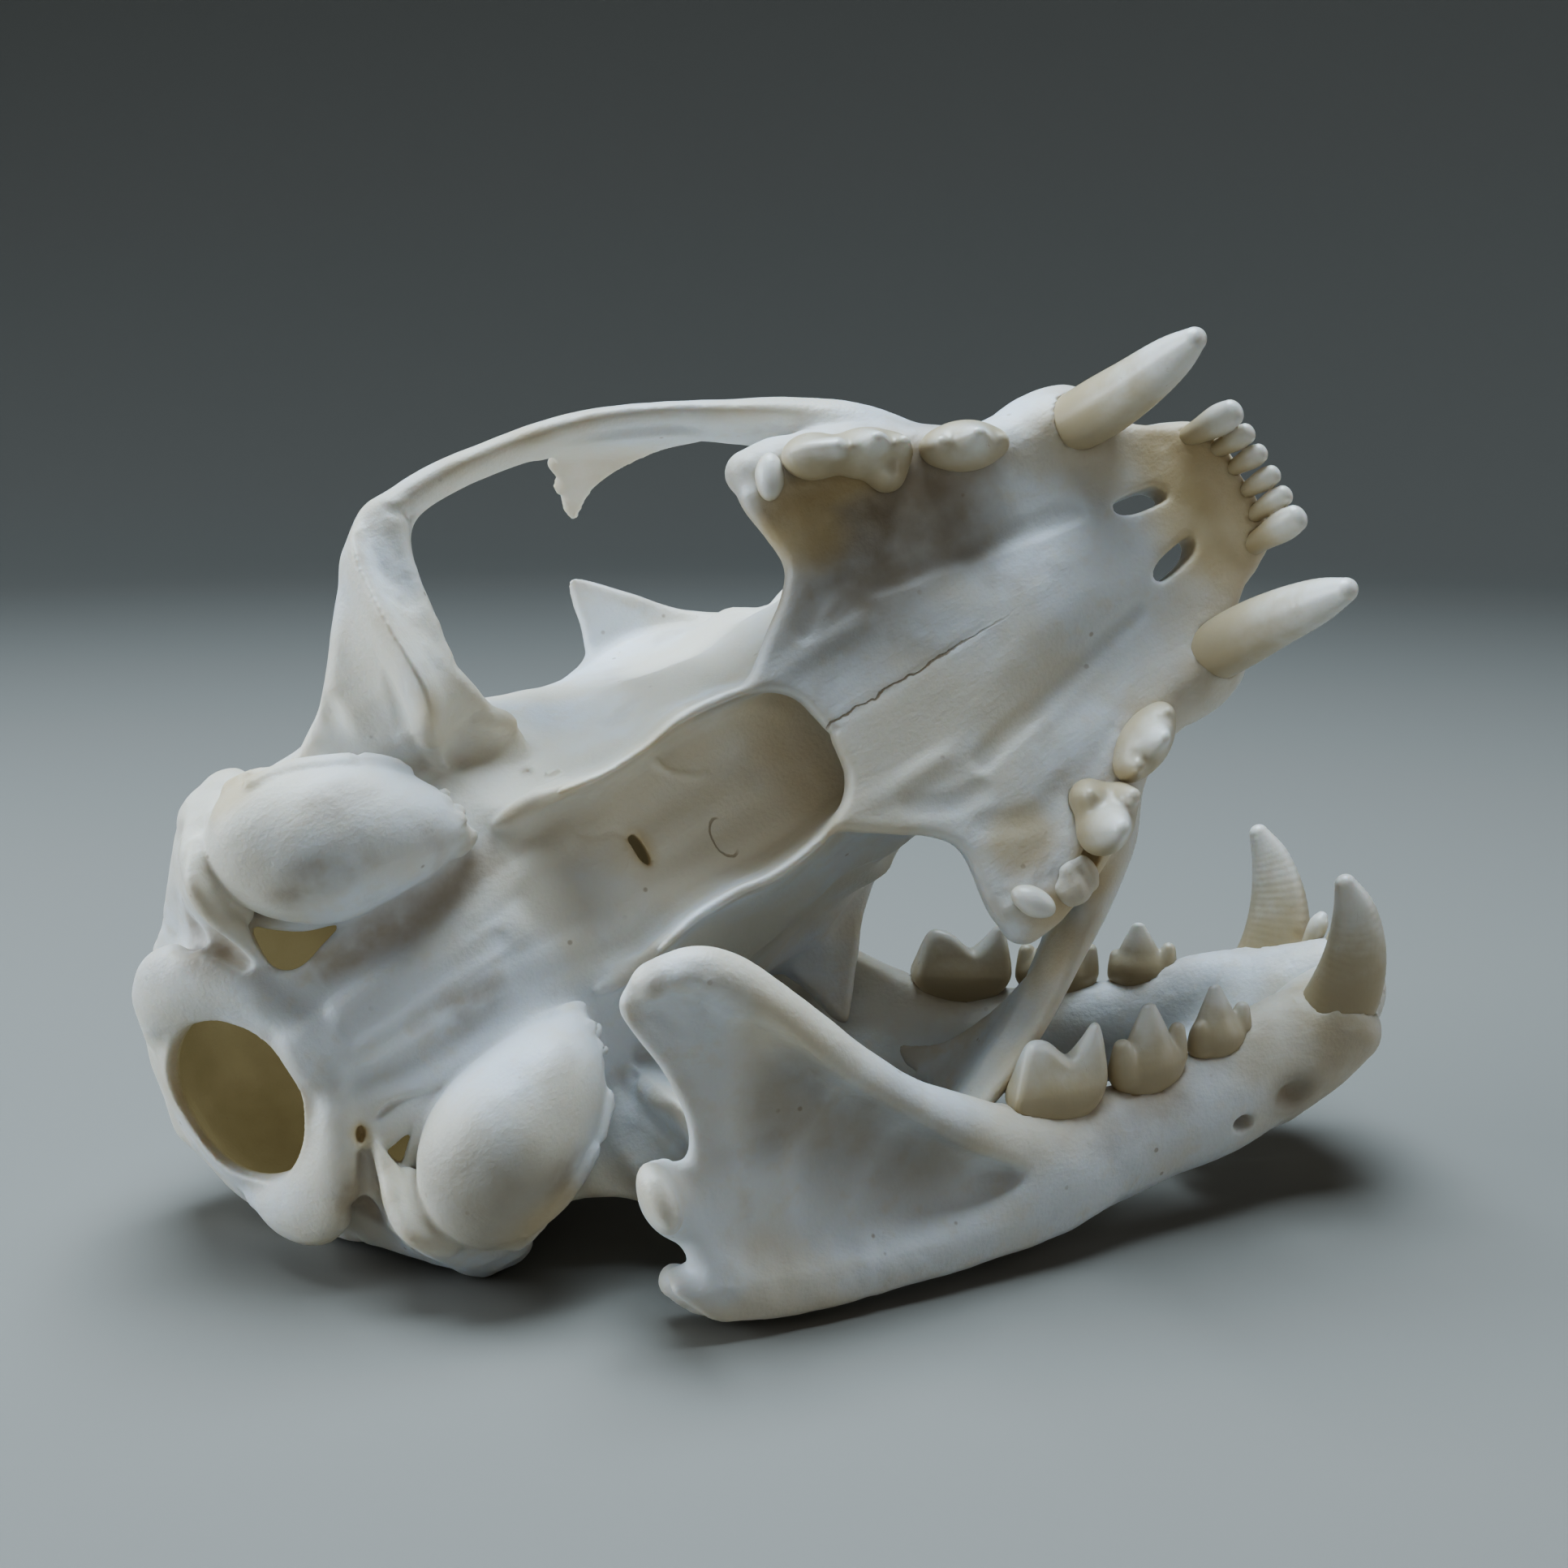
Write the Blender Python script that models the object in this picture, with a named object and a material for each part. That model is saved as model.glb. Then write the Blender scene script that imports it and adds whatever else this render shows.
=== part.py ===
"""Skull of a lynx at life size, whose cranium leans base outward against its lower jaw.

Bones and teeth are modelled like clay, in fields of signed distance in mm that are negative inside the
bone. Rounded forms are added and cut with fillets, and each field is then turned into one closed mesh. Each
bone is drawn in its own frame: x points to the nose, y to the animal's left and z to the crown of the head.
The origin of the cranium is the middle of the palate's rear edge, and that of the jaw is on the ground below
its condyles.
"""

from __future__ import annotations

import math
from dataclasses import dataclass
from typing import Callable, Sequence

import bpy
import numpy as np
import openvdb
from mathutils import Euler, Matrix, Vector

# ---------------------------------------------------------------- driving dimensions
MM = 0.001
SKULL_LENGTH = 125.4  # crest of the nape to the front of the incisors
DRAWN_LENGTH = 126.9  # the same length in the cranium's own frame
BONE_WALL = 2.2  # of the brain case
SOCKET_GAP = 0.6  # clear space round each root
MIDLINE_GAP = 0.15  # on each side, where the two halves of the jaw meet
CRANIUM_TURN = (-107.78, -28.11, 19.34)  # degrees about x, y and z
CRANIUM_PLACE = (4.89, -12.79, 52.83)
JAW_TURN = (0.0, -0.11, 9.30)
JAW_PLACE = (-22.49, -2.63, -0.05)
GROUND_SHIFT = (0.298, 1.676, -0.356)  # puts the middle of the whole model's footprint at the origin

BONE_VOXEL = 0.7
TOOTH_VOXEL = 0.35
FAR = 9.0
FACES = {
    "cranium": 5000, "jaw": 950,
    "canine": 150, "P4": 190, "P3": 140, "M1": 80, "p3": 130, "p4": 130, "m1": 160,
}

X, Y, Z = (1.0, 0.0, 0.0), (0.0, 1.0, 0.0), (0.0, 0.0, 1.0)
Array = np.ndarray
Rows = Sequence[Sequence[float]]


# ---------------------------------------------------------------- fields
def smooth_min(a: Array, b: Array, blend: float) -> Array:
    """Join two fields, with a fillet about `blend` wide."""
    if blend <= 0:
        return np.minimum(a, b)
    near = np.maximum(blend - np.abs(a - b), 0) / blend
    return np.minimum(a, b) - near * near * blend / 4


def smooth_max(a: Array, b: Array, blend: float) -> Array:
    """Keep what two fields share, with a round about `blend` wide."""
    return -smooth_min(-a, -b, blend)


def spline(rows: Rows, per_span: int, closed: bool = False) -> Array:
    """Points on a smooth curve through the rows, each of any number of columns."""
    p = np.array(rows, float)
    if closed:
        p = np.concatenate([p[-1:], p, p[:2]])
    else:
        p = np.concatenate([2 * p[:1] - p[1:2], p, 2 * p[-1:] - p[-2:-1]])
    t = np.linspace(0, 1, per_span, endpoint=False)[:, None]
    spans = [
        b + 0.5 * t * (c - a + t * (2 * a - 5 * b + 4 * c - d + t * (3 * (b - c) + d - a)))
        for a, b, c, d in zip(p[:-3], p[1:-2], p[2:-1], p[3:])
    ]
    return np.concatenate(spans if closed else [*spans, p[-2:-1]])


def profile(xs: Sequence[float], ys: Sequence[float]) -> Callable[[Array], Array]:
    """A smooth function through the points, which doesn't overshoot them."""
    x, y = np.array(xs, float), np.array(ys, float)
    width, rise = np.diff(x), np.diff(y) / np.diff(x)
    slope = np.concatenate([rise[:1], np.zeros(len(x) - 2), rise[-1:]])
    same = rise[:-1] * rise[1:] > 0
    slope[1:-1][same] = 2 * rise[:-1][same] * rise[1:][same] / (rise[:-1][same] + rise[1:][same])

    def value(at: Array) -> Array:
        at = np.clip(at, x[0], x[-1])
        i = np.clip(np.searchsorted(x, at) - 1, 0, len(width) - 1)
        t = (at - x[i]) / width[i]
        low = y[i] * (1 + 2 * t) + slope[i] * width[i] * t
        high = y[i + 1] * (3 - 2 * t) + slope[i + 1] * width[i] * (t - 1)
        return low * (1 - t) ** 2 + high * t * t

    return value


@dataclass
class Ball:
    """An ellipsoid. `turn` is its yaw about z and its pitch about y, in degrees."""

    centre: Sequence[float]
    radii: Sequence[float]
    turn: tuple[float, float] = (0.0, 0.0)

    def box(self) -> tuple[Array, Array]:
        reach = max(self.radii) if any(self.turn) else np.array(self.radii)
        return np.array(self.centre) - reach, np.array(self.centre) + reach

    def distance(self, x: Array, y: Array, z: Array) -> Array:
        x, y, z = x - self.centre[0], y - self.centre[1], z - self.centre[2]
        yaw, pitch = np.radians(self.turn)
        x, y = np.cos(yaw) * x + np.sin(yaw) * y, np.cos(yaw) * y - np.sin(yaw) * x
        x, z = np.cos(pitch) * x - np.sin(pitch) * z, np.cos(pitch) * z + np.sin(pitch) * x
        return ellipse_distance((x, y, z), self.radii)


def ellipse_distance(offsets: Sequence[Array], radii: Sequence[Array | float]) -> Array:
    """About how far a point is outside the ellipsoid with these radii."""
    inner = np.sqrt(sum((o / r) ** 2 for o, r in zip(offsets, radii)))
    steep = np.sqrt(sum((o / r**2) ** 2 for o, r in zip(offsets, radii)))
    return inner * (inner - 1) / np.maximum(steep, 1e-6)


@dataclass
class Strap:
    """A form swept along a smooth path. A row is x, y, z, half width along `across`, half thickness."""

    rows: Rows
    across: Sequence[float] = Z
    per_span: int = 6

    def stations(self) -> Array:
        return spline(self.rows, self.per_span)

    def box(self) -> tuple[Array, Array]:
        s = self.stations()
        reach = s[:, 3:5].max(1)[:, None]
        return (s[:, :3] - reach).min(0), (s[:, :3] + reach).max(0)

    def distance(self, x: Array, y: Array, z: Array) -> Array:
        stations = self.stations()
        flat = [g.ravel() for g in (x, y, z)]
        out = np.full([g.size for g in flat], FAR, np.float32)
        for a, b in zip(stations[:-1], stations[1:]):
            reach = max(a[3], a[4], b[3], b[4]) + 3.0
            low, high = np.minimum(a[:3], b[:3]) - reach, np.maximum(a[:3], b[:3]) + reach
            near = tuple(
                slice(np.searchsorted(g, lo), np.searchsorted(g, hi)) for g, lo, hi in zip(flat, low, high)
            )
            if any(n.start >= n.stop for n in near):
                continue
            offset = np.meshgrid(*(g[n] - o for g, n, o in zip(flat, near, a)), indexing="ij", sparse=True)
            out[near] = np.minimum(out[near], self.link(a, b, offset))
        return out

    def link(self, a: Array, b: Array, offset: Sequence[Array]) -> Array:
        """The distance from one straight link of the path, whose size changes evenly along it."""
        way = b[:3] - a[:3]
        length = np.linalg.norm(way)
        way /= length
        wide = np.array(self.across, float)
        wide -= wide @ way * way
        wide /= np.linalg.norm(wide)
        thick = np.cross(way, wide)
        along, u, v = (sum(o * d for o, d in zip(offset, axis)) for axis in (way, wide, thick))
        t = np.clip(along / length, 0, 1)
        w, h = a[3] + (b[3] - a[3]) * t, a[4] + (b[4] - a[4]) * t
        return ellipse_distance((u, v, along - t * length), (w, h, np.minimum(w, h)))


@dataclass
class Slab:
    """A plate: a smooth outline across the axis `normal`, a middle surface and a half thickness."""

    outline: Rows
    middle: Callable[[Array, Array], Array]
    half: Callable[[Array, Array], Array]
    normal: int = 1
    edge: float = 1.0
    reach: tuple[float, float] = (-20.0, 60.0)

    def loop(self) -> Array:
        return spline(self.outline, 5, True)

    def plane(self) -> list[int]:
        return [i for i in range(3) if i != self.normal]

    def box(self) -> tuple[Array, Array]:
        low, high = np.zeros(3), np.zeros(3)
        low[self.plane()], high[self.plane()] = self.loop().min(0), self.loop().max(0)
        low[self.normal], high[self.normal] = self.reach
        return low, high

    def distance(self, x: Array, y: Array, z: Array) -> Array:
        grid = (x, y, z)
        u, v = np.meshgrid(*(grid[k].ravel() for k in self.plane()), indexing="ij")
        side = outline_distance(self.loop(), u, v)
        middle, half = (np.broadcast_to(f(u, v), u.shape) for f in (self.middle, self.half))
        side, middle, half = (np.expand_dims(q, self.normal) for q in (side, middle, half))
        face = np.abs(grid[self.normal] - middle) - half
        r = np.minimum(self.edge, half)
        corner = np.hypot(np.maximum(side + r, 0), np.maximum(face + r, 0)) - r
        return np.where((side + r > 0) & (face + r > 0), corner, np.maximum(side, face))


def outline_distance(loop: Array, u: Array, v: Array) -> Array:
    """Signed distances from a closed outline, negative inside."""
    best, inside = np.full(u.shape, 1e9), np.zeros(u.shape, bool)
    for (au, av), (bu, bv) in zip(loop, np.roll(loop, -1, 0)):
        du, dv = bu - au, bv - av
        t = np.clip(((u - au) * du + (v - av) * dv) / max(du * du + dv * dv, 1e-12), 0, 1)
        best = np.minimum(best, (u - au - t * du) ** 2 + (v - av - t * dv) ** 2)
        if abs(dv) > 1e-12:
            inside ^= ((av > v) != (bv > v)) & (u < au + (v - av) / dv * du)
    return np.where(inside, -np.sqrt(best), np.sqrt(best))


@dataclass
class Loft:
    """A rounded body along x. A row is x, half width, bottom, widest level, top, lower and upper fullness."""

    rows: Rows
    ends: float = 1.0

    def box(self) -> tuple[Array, Array]:
        r = np.array(self.rows, float)
        low = np.array([r[0, 0], -r[:, 1].max(), r[:, 2].min()])
        return low, np.array([r[-1, 0], r[:, 1].max(), r[:, 4].max()])

    def distance(self, x: Array, y: Array, z: Array) -> Array:
        r = np.array(self.rows, float)
        w, low, mid, top, full_low, full_top = (profile(r[:, 0], r[:, c])(x) for c in range(1, 7))
        height = np.where(z >= mid, top - mid, mid - low)
        full = np.where(z >= mid, full_top, full_low)
        f = (np.abs(y / w) ** full + np.abs((z - mid) / height) ** full) ** (1 / full) - 1
        slopes = np.gradient(f, *(float(np.diff(g.ravel()[:2])[0]) for g in (x, y, z)))
        side = f / np.maximum(np.sqrt(sum(s * s for s in slopes)), 0.02)
        return smooth_max(side, np.maximum(r[0, 0] - x, x - r[-1, 0]), self.ends)


Form = Ball | Strap | Slab | Loft
Step = tuple[Form, float]


class Clay:
    """A block of signed distances, to which forms are added and from which others are cut."""

    def __init__(self, low: Sequence[float], high: Sequence[float], voxel: float) -> None:
        self.voxel = voxel
        self.axes = [lo + voxel * np.arange(math.ceil((hi - lo) / voxel) + 1) for lo, hi in zip(low, high)]
        self.depth = np.full([len(a) for a in self.axes], FAR, np.float32)

    def place(self, form: Form, pad: float) -> tuple[tuple[slice, ...], Array]:
        """The part of the block that a form reaches, and the form's distances there."""
        low, high = form.box()
        first = [max(int((lo - pad - a[0]) / self.voxel), 0) for a, lo in zip(self.axes, low)]
        last = [max(int((hi + pad - a[0]) / self.voxel) + 2, 2) for a, hi in zip(self.axes, high)]
        near = tuple(slice(i, j) for i, j in zip(first, last))
        grid = np.meshgrid(*(a[n] for a, n in zip(self.axes, near)), indexing="ij", sparse=True)
        return near, np.asarray(form.distance(*grid), np.float32)

    def add(self, form: Form, blend: float = 0.0) -> None:
        near, d = self.place(form, blend * 1.25 + 1.5)
        self.depth[near] = smooth_min(self.depth[near], d, blend)

    def cut(self, form: Form, blend: float = 0.0, grow: float = 0.0) -> None:
        near, d = self.place(form, blend * 1.25 + 1.5 + grow)
        self.depth[near] = smooth_max(self.depth[near], grow - d, blend)

    def keep_above(self, axis: int, level: float) -> None:
        """Cut off, with a plane, all that lies below a level of one axis."""
        plane = np.expand_dims(level - self.axes[axis], [i for i in range(3) if i != axis])
        self.depth = np.maximum(self.depth, plane.astype(np.float32))

    def mirrored(self) -> None:
        """Complete a half that starts at y = 0."""
        self.depth = np.concatenate([self.depth[:, :0:-1], self.depth], 1)
        self.axes[1] = np.concatenate([-self.axes[1][:0:-1], self.axes[1]])

    def surface(self) -> tuple[Array, Array]:
        """The points and four-sided faces of the bone's surface, in mm."""
        grid = openvdb.FloatGrid(FAR)
        grid.copyFromArray(np.ascontiguousarray(self.depth, np.float32))
        points, quads = grid.convertToQuads(isovalue=0.0)
        points = points * self.voxel + [a[0] for a in self.axes]
        a, b, c, d = (points[quads[:, i]] for i in range(4))
        volume = np.einsum("ij,ij->", a, np.cross(b, c)) + np.einsum("ij,ij->", a, np.cross(c, d))
        return points, quads if volume > 0 else quads[:, ::-1]


# ---------------------------------------------------------------- cranium
def brain_case() -> Loft:
    """The outside of the brain case."""
    return Loft((
        (-74.6, 5, 24, 27, 30.5, 2, 2),
        (-72.5, 9.6, 18, 25.5, 33, 2, 2),
        (-68, 14.6, 12, 24, 36.4, 2, 2),
        (-62, 19.2, 7.5, 21, 39.8, 2.0, 2.1),
        (-55, 24.4, 5.5, 20, 42.6, 2.2, 2.1),
        (-46, 27.0, 5.0, 22, 45.2, 2.4, 2.1),
        (-37, 26.2, 5.5, 24, 46.8, 2.3, 2.1),
        (-29, 23.8, 6.5, 27, 47.5, 2.2, 2.2),
        (-22, 21.4, 7.5, 30, 47.7, 1.9, 2.3),
        (-15, 20.0, 8.5, 34, 47.6, 1.55, 2.4),
        (-8, 20.0, 9.5, 36, 47.2, 1.2, 2.4),
        (6, 15.5, 9.5, 34, 44.8, 1.1, 2.4),
    ), 3)


def muzzle() -> Loft:
    """The outside of the muzzle."""
    return Loft((
        (3, 12.5, 4, 32, 45.4, 1.3, 2.3),
        (8, 15.5, 1.5, 26, 44.2, 1.8, 2.2),
        (13, 19.0, 0.3, 16, 41.9, 3.0, 2.0),
        (19, 20.0, 0.0, 11, 38.5, 3.5, 1.75),
        (26, 18.8, 0.0, 9, 33.5, 4, 1.6),
        (33, 17.6, 0.0, 7, 29.0, 4, 1.6),
        (38.5, 16.4, 0.0, 6, 26.0, 4, 1.6),
        (42, 13.4, 0.0, 6, 23.5, 3.5, 1.7),
        (44.5, 10.4, -0.2, 6, 21.0, 3, 1.8),
        (47.2, 8.7, -1.5, 3.2, 12.0, 3, 2),
        (49.9, 7.0, -2.2, 0.6, 4.0, 2.6, 2),
    ), 2)


def add_face(bone: Clay) -> None:
    """Add the muzzle, the forehead with its pointed processes, and the walls between orbits and throat."""
    bone.add(muzzle(), 4)
    bone.add(Ball((36.0, 14.4, 6.5), (6.5, 4.4, 8.0)), 3)
    bone.add(Strap(((8, 0, 16, 9.5, 8), (-4, 0, 16, 9.5, 8), (-14, 0, 16, 10.5, 8),
                    (-24, 0, 16, 11, 8)), Y), 3)
    wall = (
        (6, -0.2), (-3, 0.6), (-12, 0.6), (-19, 0.4), (-24.5, -0.6), (-26.3, -0.7), (-25.5, 1.5), (-28, 4.5),
        (-32, 8), (-31, 18), (-20, 26), (-6, 31), (6, 30), (11, 20), (10, 8), (9, 1),
    )
    edge, lean = wing_edge(), profile([0, 12, 20, 30], [0, 0.8, 1.9, 4.4])
    bone.add(Slab(wall, lambda x, z: edge(x) + lean(z), lambda x, z: 0.5 + 0.012 * np.clip(z, 0, 20) ** 2,
                  1, 0.5, (3, 18)), 3)
    brow = profile([-26, -12, -4, 4, 10, 16], [44.8, 45.2, 44.7, 43.6, 41.4, 37])
    forehead = (
        (16, 0), (16, 9), (10, 13.4), (5.4, 16.6), (0.9, 20.2), (-2.8, 24.3), (-5.8, 28.0), (-8.0, 31.0),
        (-9.2, 30.4), (-9.6, 27.0), (-10.4, 23.2), (-12.5, 20.2), (-24, 17), (-26, 0), (-10, -3),
    )
    bone.add(Slab(forehead, lambda x, y: brow(x) - 10.0 * (y / 30.5) ** 2,
                  lambda x, y: 2.6 - 1.5 * np.clip((y - 12) / 18, 0, 1), 2, 1.0, (30, 52)), 4)
    bone.cut(Ball((-4, 28.5, 22), (15, 13.5, 14)), 3)


def wing_edge() -> Callable[[Array], Array]:
    """How far from the middle the thin walls beside the throat passage stand at their lower edge, along x."""
    return profile([-27, -25.5, -20.4, -16.5, -12, -6.9, -3.1, 2], [9.0, 8.7, 8.0, 8.1, 8.7, 8.2, 7.4, 7.8])


def add_palate(bone: Clay) -> None:
    """Add the plate of the palate, with its notched rear edge, and the ridge that carries the teeth."""
    palate = (
        (50, 0), (49, 5), (46, 8.4), (42, 11), (38, 14), (30, 15.5), (20, 18.5), (12, 22), (6.5, 24.5),
        (4.2, 23.6), (4.9, 17), (2.9, 13.9), (-0.1, 11.7), (-4.5, 8.2), (-3.2, 6.6), (-1.2, 3.7), (-0.3, 0),
        (10, -3), (40, -3),
    )
    bone.add(Slab(palate, lambda x, y: 1.5 + 0 * x, lambda x, y: 1.5 + 0 * x, 2, 1.0, (-2, 6)), 1.5)
    bone.add(Strap(((30, 15.9, 3, 2.6, 3), (25, 17.8, 2.8, 2.8, 3), (20, 20.5, 2.6, 2.9, 3),
                    (15, 23.0, 2.6, 2.9, 3), (10, 25.2, 2.8, 2.8, 3), (7, 26.0, 3.2, 2.4, 3)), Y), 2)
    bone.cut(Ball((25, 8.6, -8.6), (17, 6.8, 9.6), (-6, 0)), 3)


def add_cheek(bone: Clay) -> None:
    """Add the cheek arch from the muzzle to the temple, and the process below the orbit."""
    bone.add(Strap((
        (25, 18.5, 9, 6.0, 3), (20.5, 24.2, 9, 6.2, 3), (15, 28.8, 9.2, 6.2, 2.4), (9, 32.6, 9.0, 5.7, 1.8),
        (3, 36.1, 8.8, 5.0, 1.5), (-4, 39.0, 8.6, 4.4, 1.4), (-12, 40.8, 8.7, 4.0, 1.5),
        (-20, 41.6, 8.8, 3.7, 1.6), (-25.5, 40.6, 8.2, 3.2, 1.9), (-29, 37.6, 7.6, 3.0, 2.4),
    )), 2.5)
    process = (
        (6.5, 9), (4.7, 12), (1.6, 15), (-2.1, 18), (-4.4, 21), (-7.2, 24.6), (-7.4, 22), (-6.9, 20),
        (-7.8, 17.2), (-6.6, 14.5), (-8.4, 11.5), (-8, 8), (4, 7),
    )
    bone.add(Slab(process,
                  lambda x, z: 39.6 - 0.037 * np.maximum(z - 11, 0) ** 2 - 0.5 * np.maximum(x + 7.2, 0),
                  lambda x, z: 0.7 + 0 * x, 1, 0.6, (26, 42)), 1.5)


def add_temple(bone: Clay) -> None:
    """Add the arch's root on the temple, and the groove and lip in which the lower jaw turns."""
    outline = (
        (-25.5, 15), (-26.6, 21.0), (-27.3, 25.1), (-26.5, 29.4), (-25.5, 35.3), (-24.6, 38.5), (-24.4, 41),
        (-26.6, 42.2), (-30.5, 39.6), (-35.1, 34.8), (-39.6, 29.3), (-43.8, 26.4), (-47.5, 24.5), (-46, 17),
        (-36, 13),
    )
    under = profile([-48, -43, -38.5, -35.5, -33.4, -31.9, -31.0, -30.2, -28.8, -27, -24.5],
                    [12, 10, 8.2, 6.4, 3.6, -0.6, -1.8, -0.4, 2.6, 4.3, 4.9])
    bend = profile([20, 24, 30, 36, 41], [-1.6, -0.6, -0.4, 0.2, 1.6])
    over = profile([-46, -40, -33, -27, -24], [17, 15.5, 13.0, 12, 11.5])
    rise = profile([14, 19, 22, 25, 30, 36, 41], [8.5, 5.0, 1.4, 0.4, 0.8, 3.0, 5.2])
    fade = profile([14, 18, 22, 26], [6.5, 4.0, 1.2, 0.0])
    bone.add(Slab(outline, lambda x, y: (lip(under, rise, bend, x, y) + fade(y) + over(x)) / 2,
                  lambda x, y: np.maximum(over(x) - fade(y) - lip(under, rise, bend, x, y), 1.6) / 2,
                  2, 1.2, (-5, 18)), 2.4)


def lip(under: Callable[[Array], Array], rise: Callable[[Array], Array],
        bend: Callable[[Array], Array], x: Array, y: Array) -> Array:
    """The level of the temple root's lower face.

    Args:
        under: The face's level along x, with the lip behind the groove.
        rise: How much higher the lip is, along y.
        bend: How far the lip is moved forward, along y.
        x: Where, along x.
        y: Where, along y.

    Returns:
        The level there.
    """
    along = x - bend(y)
    return under(along) + rise(y) * np.exp(-((along + 31.0) / 3.2) ** 2)


def add_ear(bone: Clay) -> None:
    """Add the inflated bulla of the ear, and the process that hugs its rear."""
    bone.add(Ball((-47.0, 16.7, 4.2), (10.1, 7.7, 8.0), (-22, 0)), 0.8)
    bone.add(Ball((-41.0, 14.0, 4.2), (6.2, 4.7, 5.7), (-24, 0)), 3.0)
    bone.add(Ball((-37.2, 11.7, 4.4), (2.8, 1.8, 2.6), (-35, 0)), 1.6)
    bone.add(Ball((-51.2, 20.3, 5.0), (4.8, 4.9, 5.8)), 3.0)
    bone.add(Strap(((-37.0, 18.6, 3.6, 0.8, 0.8), (-41, 21.8, 2.8, 0.9, 0.9), (-46, 24.2, 2.6, 0.9, 0.9),
                    (-51.5, 25.2, 3.8, 0.9, 0.9))), 0.9)
    behind = profile([9, 13.6, 17, 20.4, 23.6, 26.5], [-58.4, -59.2, -59.3, -58.5, -56.8, -54.2])
    shield = (
        (9.6, 8.4), (12.5, 6.3), (15.5, 4.6), (18.6, 3.3), (21.6, 3.9), (24.4, 6.2), (26.3, 8.8), (26, 14),
        (20, 17), (12, 16),
    )
    bone.add(Slab(shield, lambda y, z: behind(y) - 0.12 * np.maximum(z - 4, 0), lambda y, z: 0.9 + 0.06 * z,
                  0, 0.8, (-64, -50)), 2.0)


def add_nape(bone: Clay) -> None:
    """Add the mastoid, the crests of the nape and crown, and the two condyles."""
    bone.add(Ball((-52.5, 23.8, 12.5), (5.4, 3.6, 6.0), (-25, 0)), 1.6)
    bone.add(Strap(((-73.8, 0, 31.5, 1.3, 1.6), (-73.2, 5.5, 30.8, 1.2, 1.5), (-71.0, 11.0, 28.5, 1.2, 1.5),
                    (-66.8, 15.6, 24, 1.2, 1.5), (-61.6, 19.6, 16.5, 1.3, 1.5), (-56, 24.0, 12.5, 1.4, 1.5),
                    (-52, 26.2, 11, 1.4, 1.5)), X), 2.5)
    bone.add(Strap(((-73.8, 0, 32.5, 1.3, 1.6), (-65, 0, 39.0, 1.3, 1.4), (-55, 0, 43.4, 1.3, 1.1),
                    (-44, 0, 45.6, 1.3, 0.8)), Z), 3)
    bone.add(Strap(((-70.8, 9.8, 20.5, 1.2, 1.3), (-69.6, 11.9, 17.2, 2.8, 1.6),
                    (-67.2, 12.8, 13.6, 3.8, 1.9),
                    (-64.2, 12.0, 10.5, 3.7, 2.0), (-61.6, 9.7, 8.4, 2.6, 1.8), (-59.6, 6.6, 7.2, 1.6, 1.5),
                    (-57.5, 3.0, 6.8, 1.0, 1.2)), (0.2, 1.0, -0.2)), 3.2)
    bone.add(Strap(((-59.5, 0, 6.6, 2.0, 1.0), (-52, 0, 5.9, 2.4, 1.0), (-44, 0, 5.6, 2.0, 0.9),
                    (-36, 0, 6.2, 1.2, 0.7)), Y), 2.5)
    bone.cut(Strap(((-63.4, 18.6, 2.0, 2.8, 1.9), (-62.9, 17.2, 7.0, 2.6, 1.6),
                    (-62.2, 15.6, 10.8, 1.7, 1.1)),
                   Y), 1.0)
    for y, x in ((4.8, -46), (4.6, -55)):
        bone.cut(Ball((x, y, 0.2), (8.0, 3.0, 5.8)), 2)


def hollow_out(bone: Clay, case: Array) -> None:
    """Cut the brain cavity, the great foramen, and the passage from the nose to the throat.

    Args:
        bone: The clay.
        case: The distances of the brain case alone.
    """
    x = bone.axes[0][:, None, None].astype(np.float32)
    cavity = smooth_max(case + BONE_WALL, x + 24, 4)
    cavity = smooth_max(cavity, -74.5 - x, 2)
    bone.depth = np.maximum(bone.depth, -cavity).astype(np.float32)
    bone.cut(Strap(((-76, 0, 4.2, 8.5, 8.9), (-68, 0, 13.0, 8.6, 8.9), (-60, 0, 21.8, 8.8, 9.2)), Y), 1.0)
    bone.cut(Strap(((30, 0, 12, 7, 8), (16, 0, 9, 6.5, 6), (6, 0, 6.8, 6.0, 3.9), (-1, 0, 6.6, 6.4, 3.7),
                    (-6, 0, 6.2, 6.6, 3.6)), Y), 0.8)
    cut_throat(bone)
    bone.cut(Strap(((58, 0, 10.0, 8.4, 9), (46, 0, 12.0, 8.4, 9), (38, 0, 13.5, 7.8, 9), (26, 0, 14, 7, 9)),
                   Y), 1.5)


def cut_throat(bone: Clay) -> None:
    """Cut the trough of the throat passage behind the palate, which has a low keel in its roof."""
    edge = wing_edge()
    rim = [(-0.3, 0.0), (-0.6, 2.6), (-1.2, 4.6), (-2.4, 6.0), (-4.2, edge(np.array(-4.2)) - 0.55)]
    rim += [(x, float(edge(np.array(x))) - 0.55) for x in (-7.0, -10.0, -13.0, -16.5, -20.4, -25.5)]
    rim += [(-31.0, 8.6)]
    plan = [*rim, *((x, -y) for x, y in rim[:0:-1])]
    roof = profile([-34, -29, -25, -21, -15, -8, -2, 4], [3.0, 5.6, 7.2, 8.4, 9.4, 10.2, 10.4, 10.3])
    low = -14.0

    def top(x: Array, y: Array) -> Array:
        """The level of the trough's roof."""
        return roof(x) - 0.045 * y * y - 0.9 * np.exp(-((y / 2.2) ** 2))

    bone.cut(Slab(plan, lambda x, y: (top(x, y) + low) / 2, lambda x, y: (top(x, y) - low) / 2, 2, 2.4,
                  (low - 1, 12)), 0.8)


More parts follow.
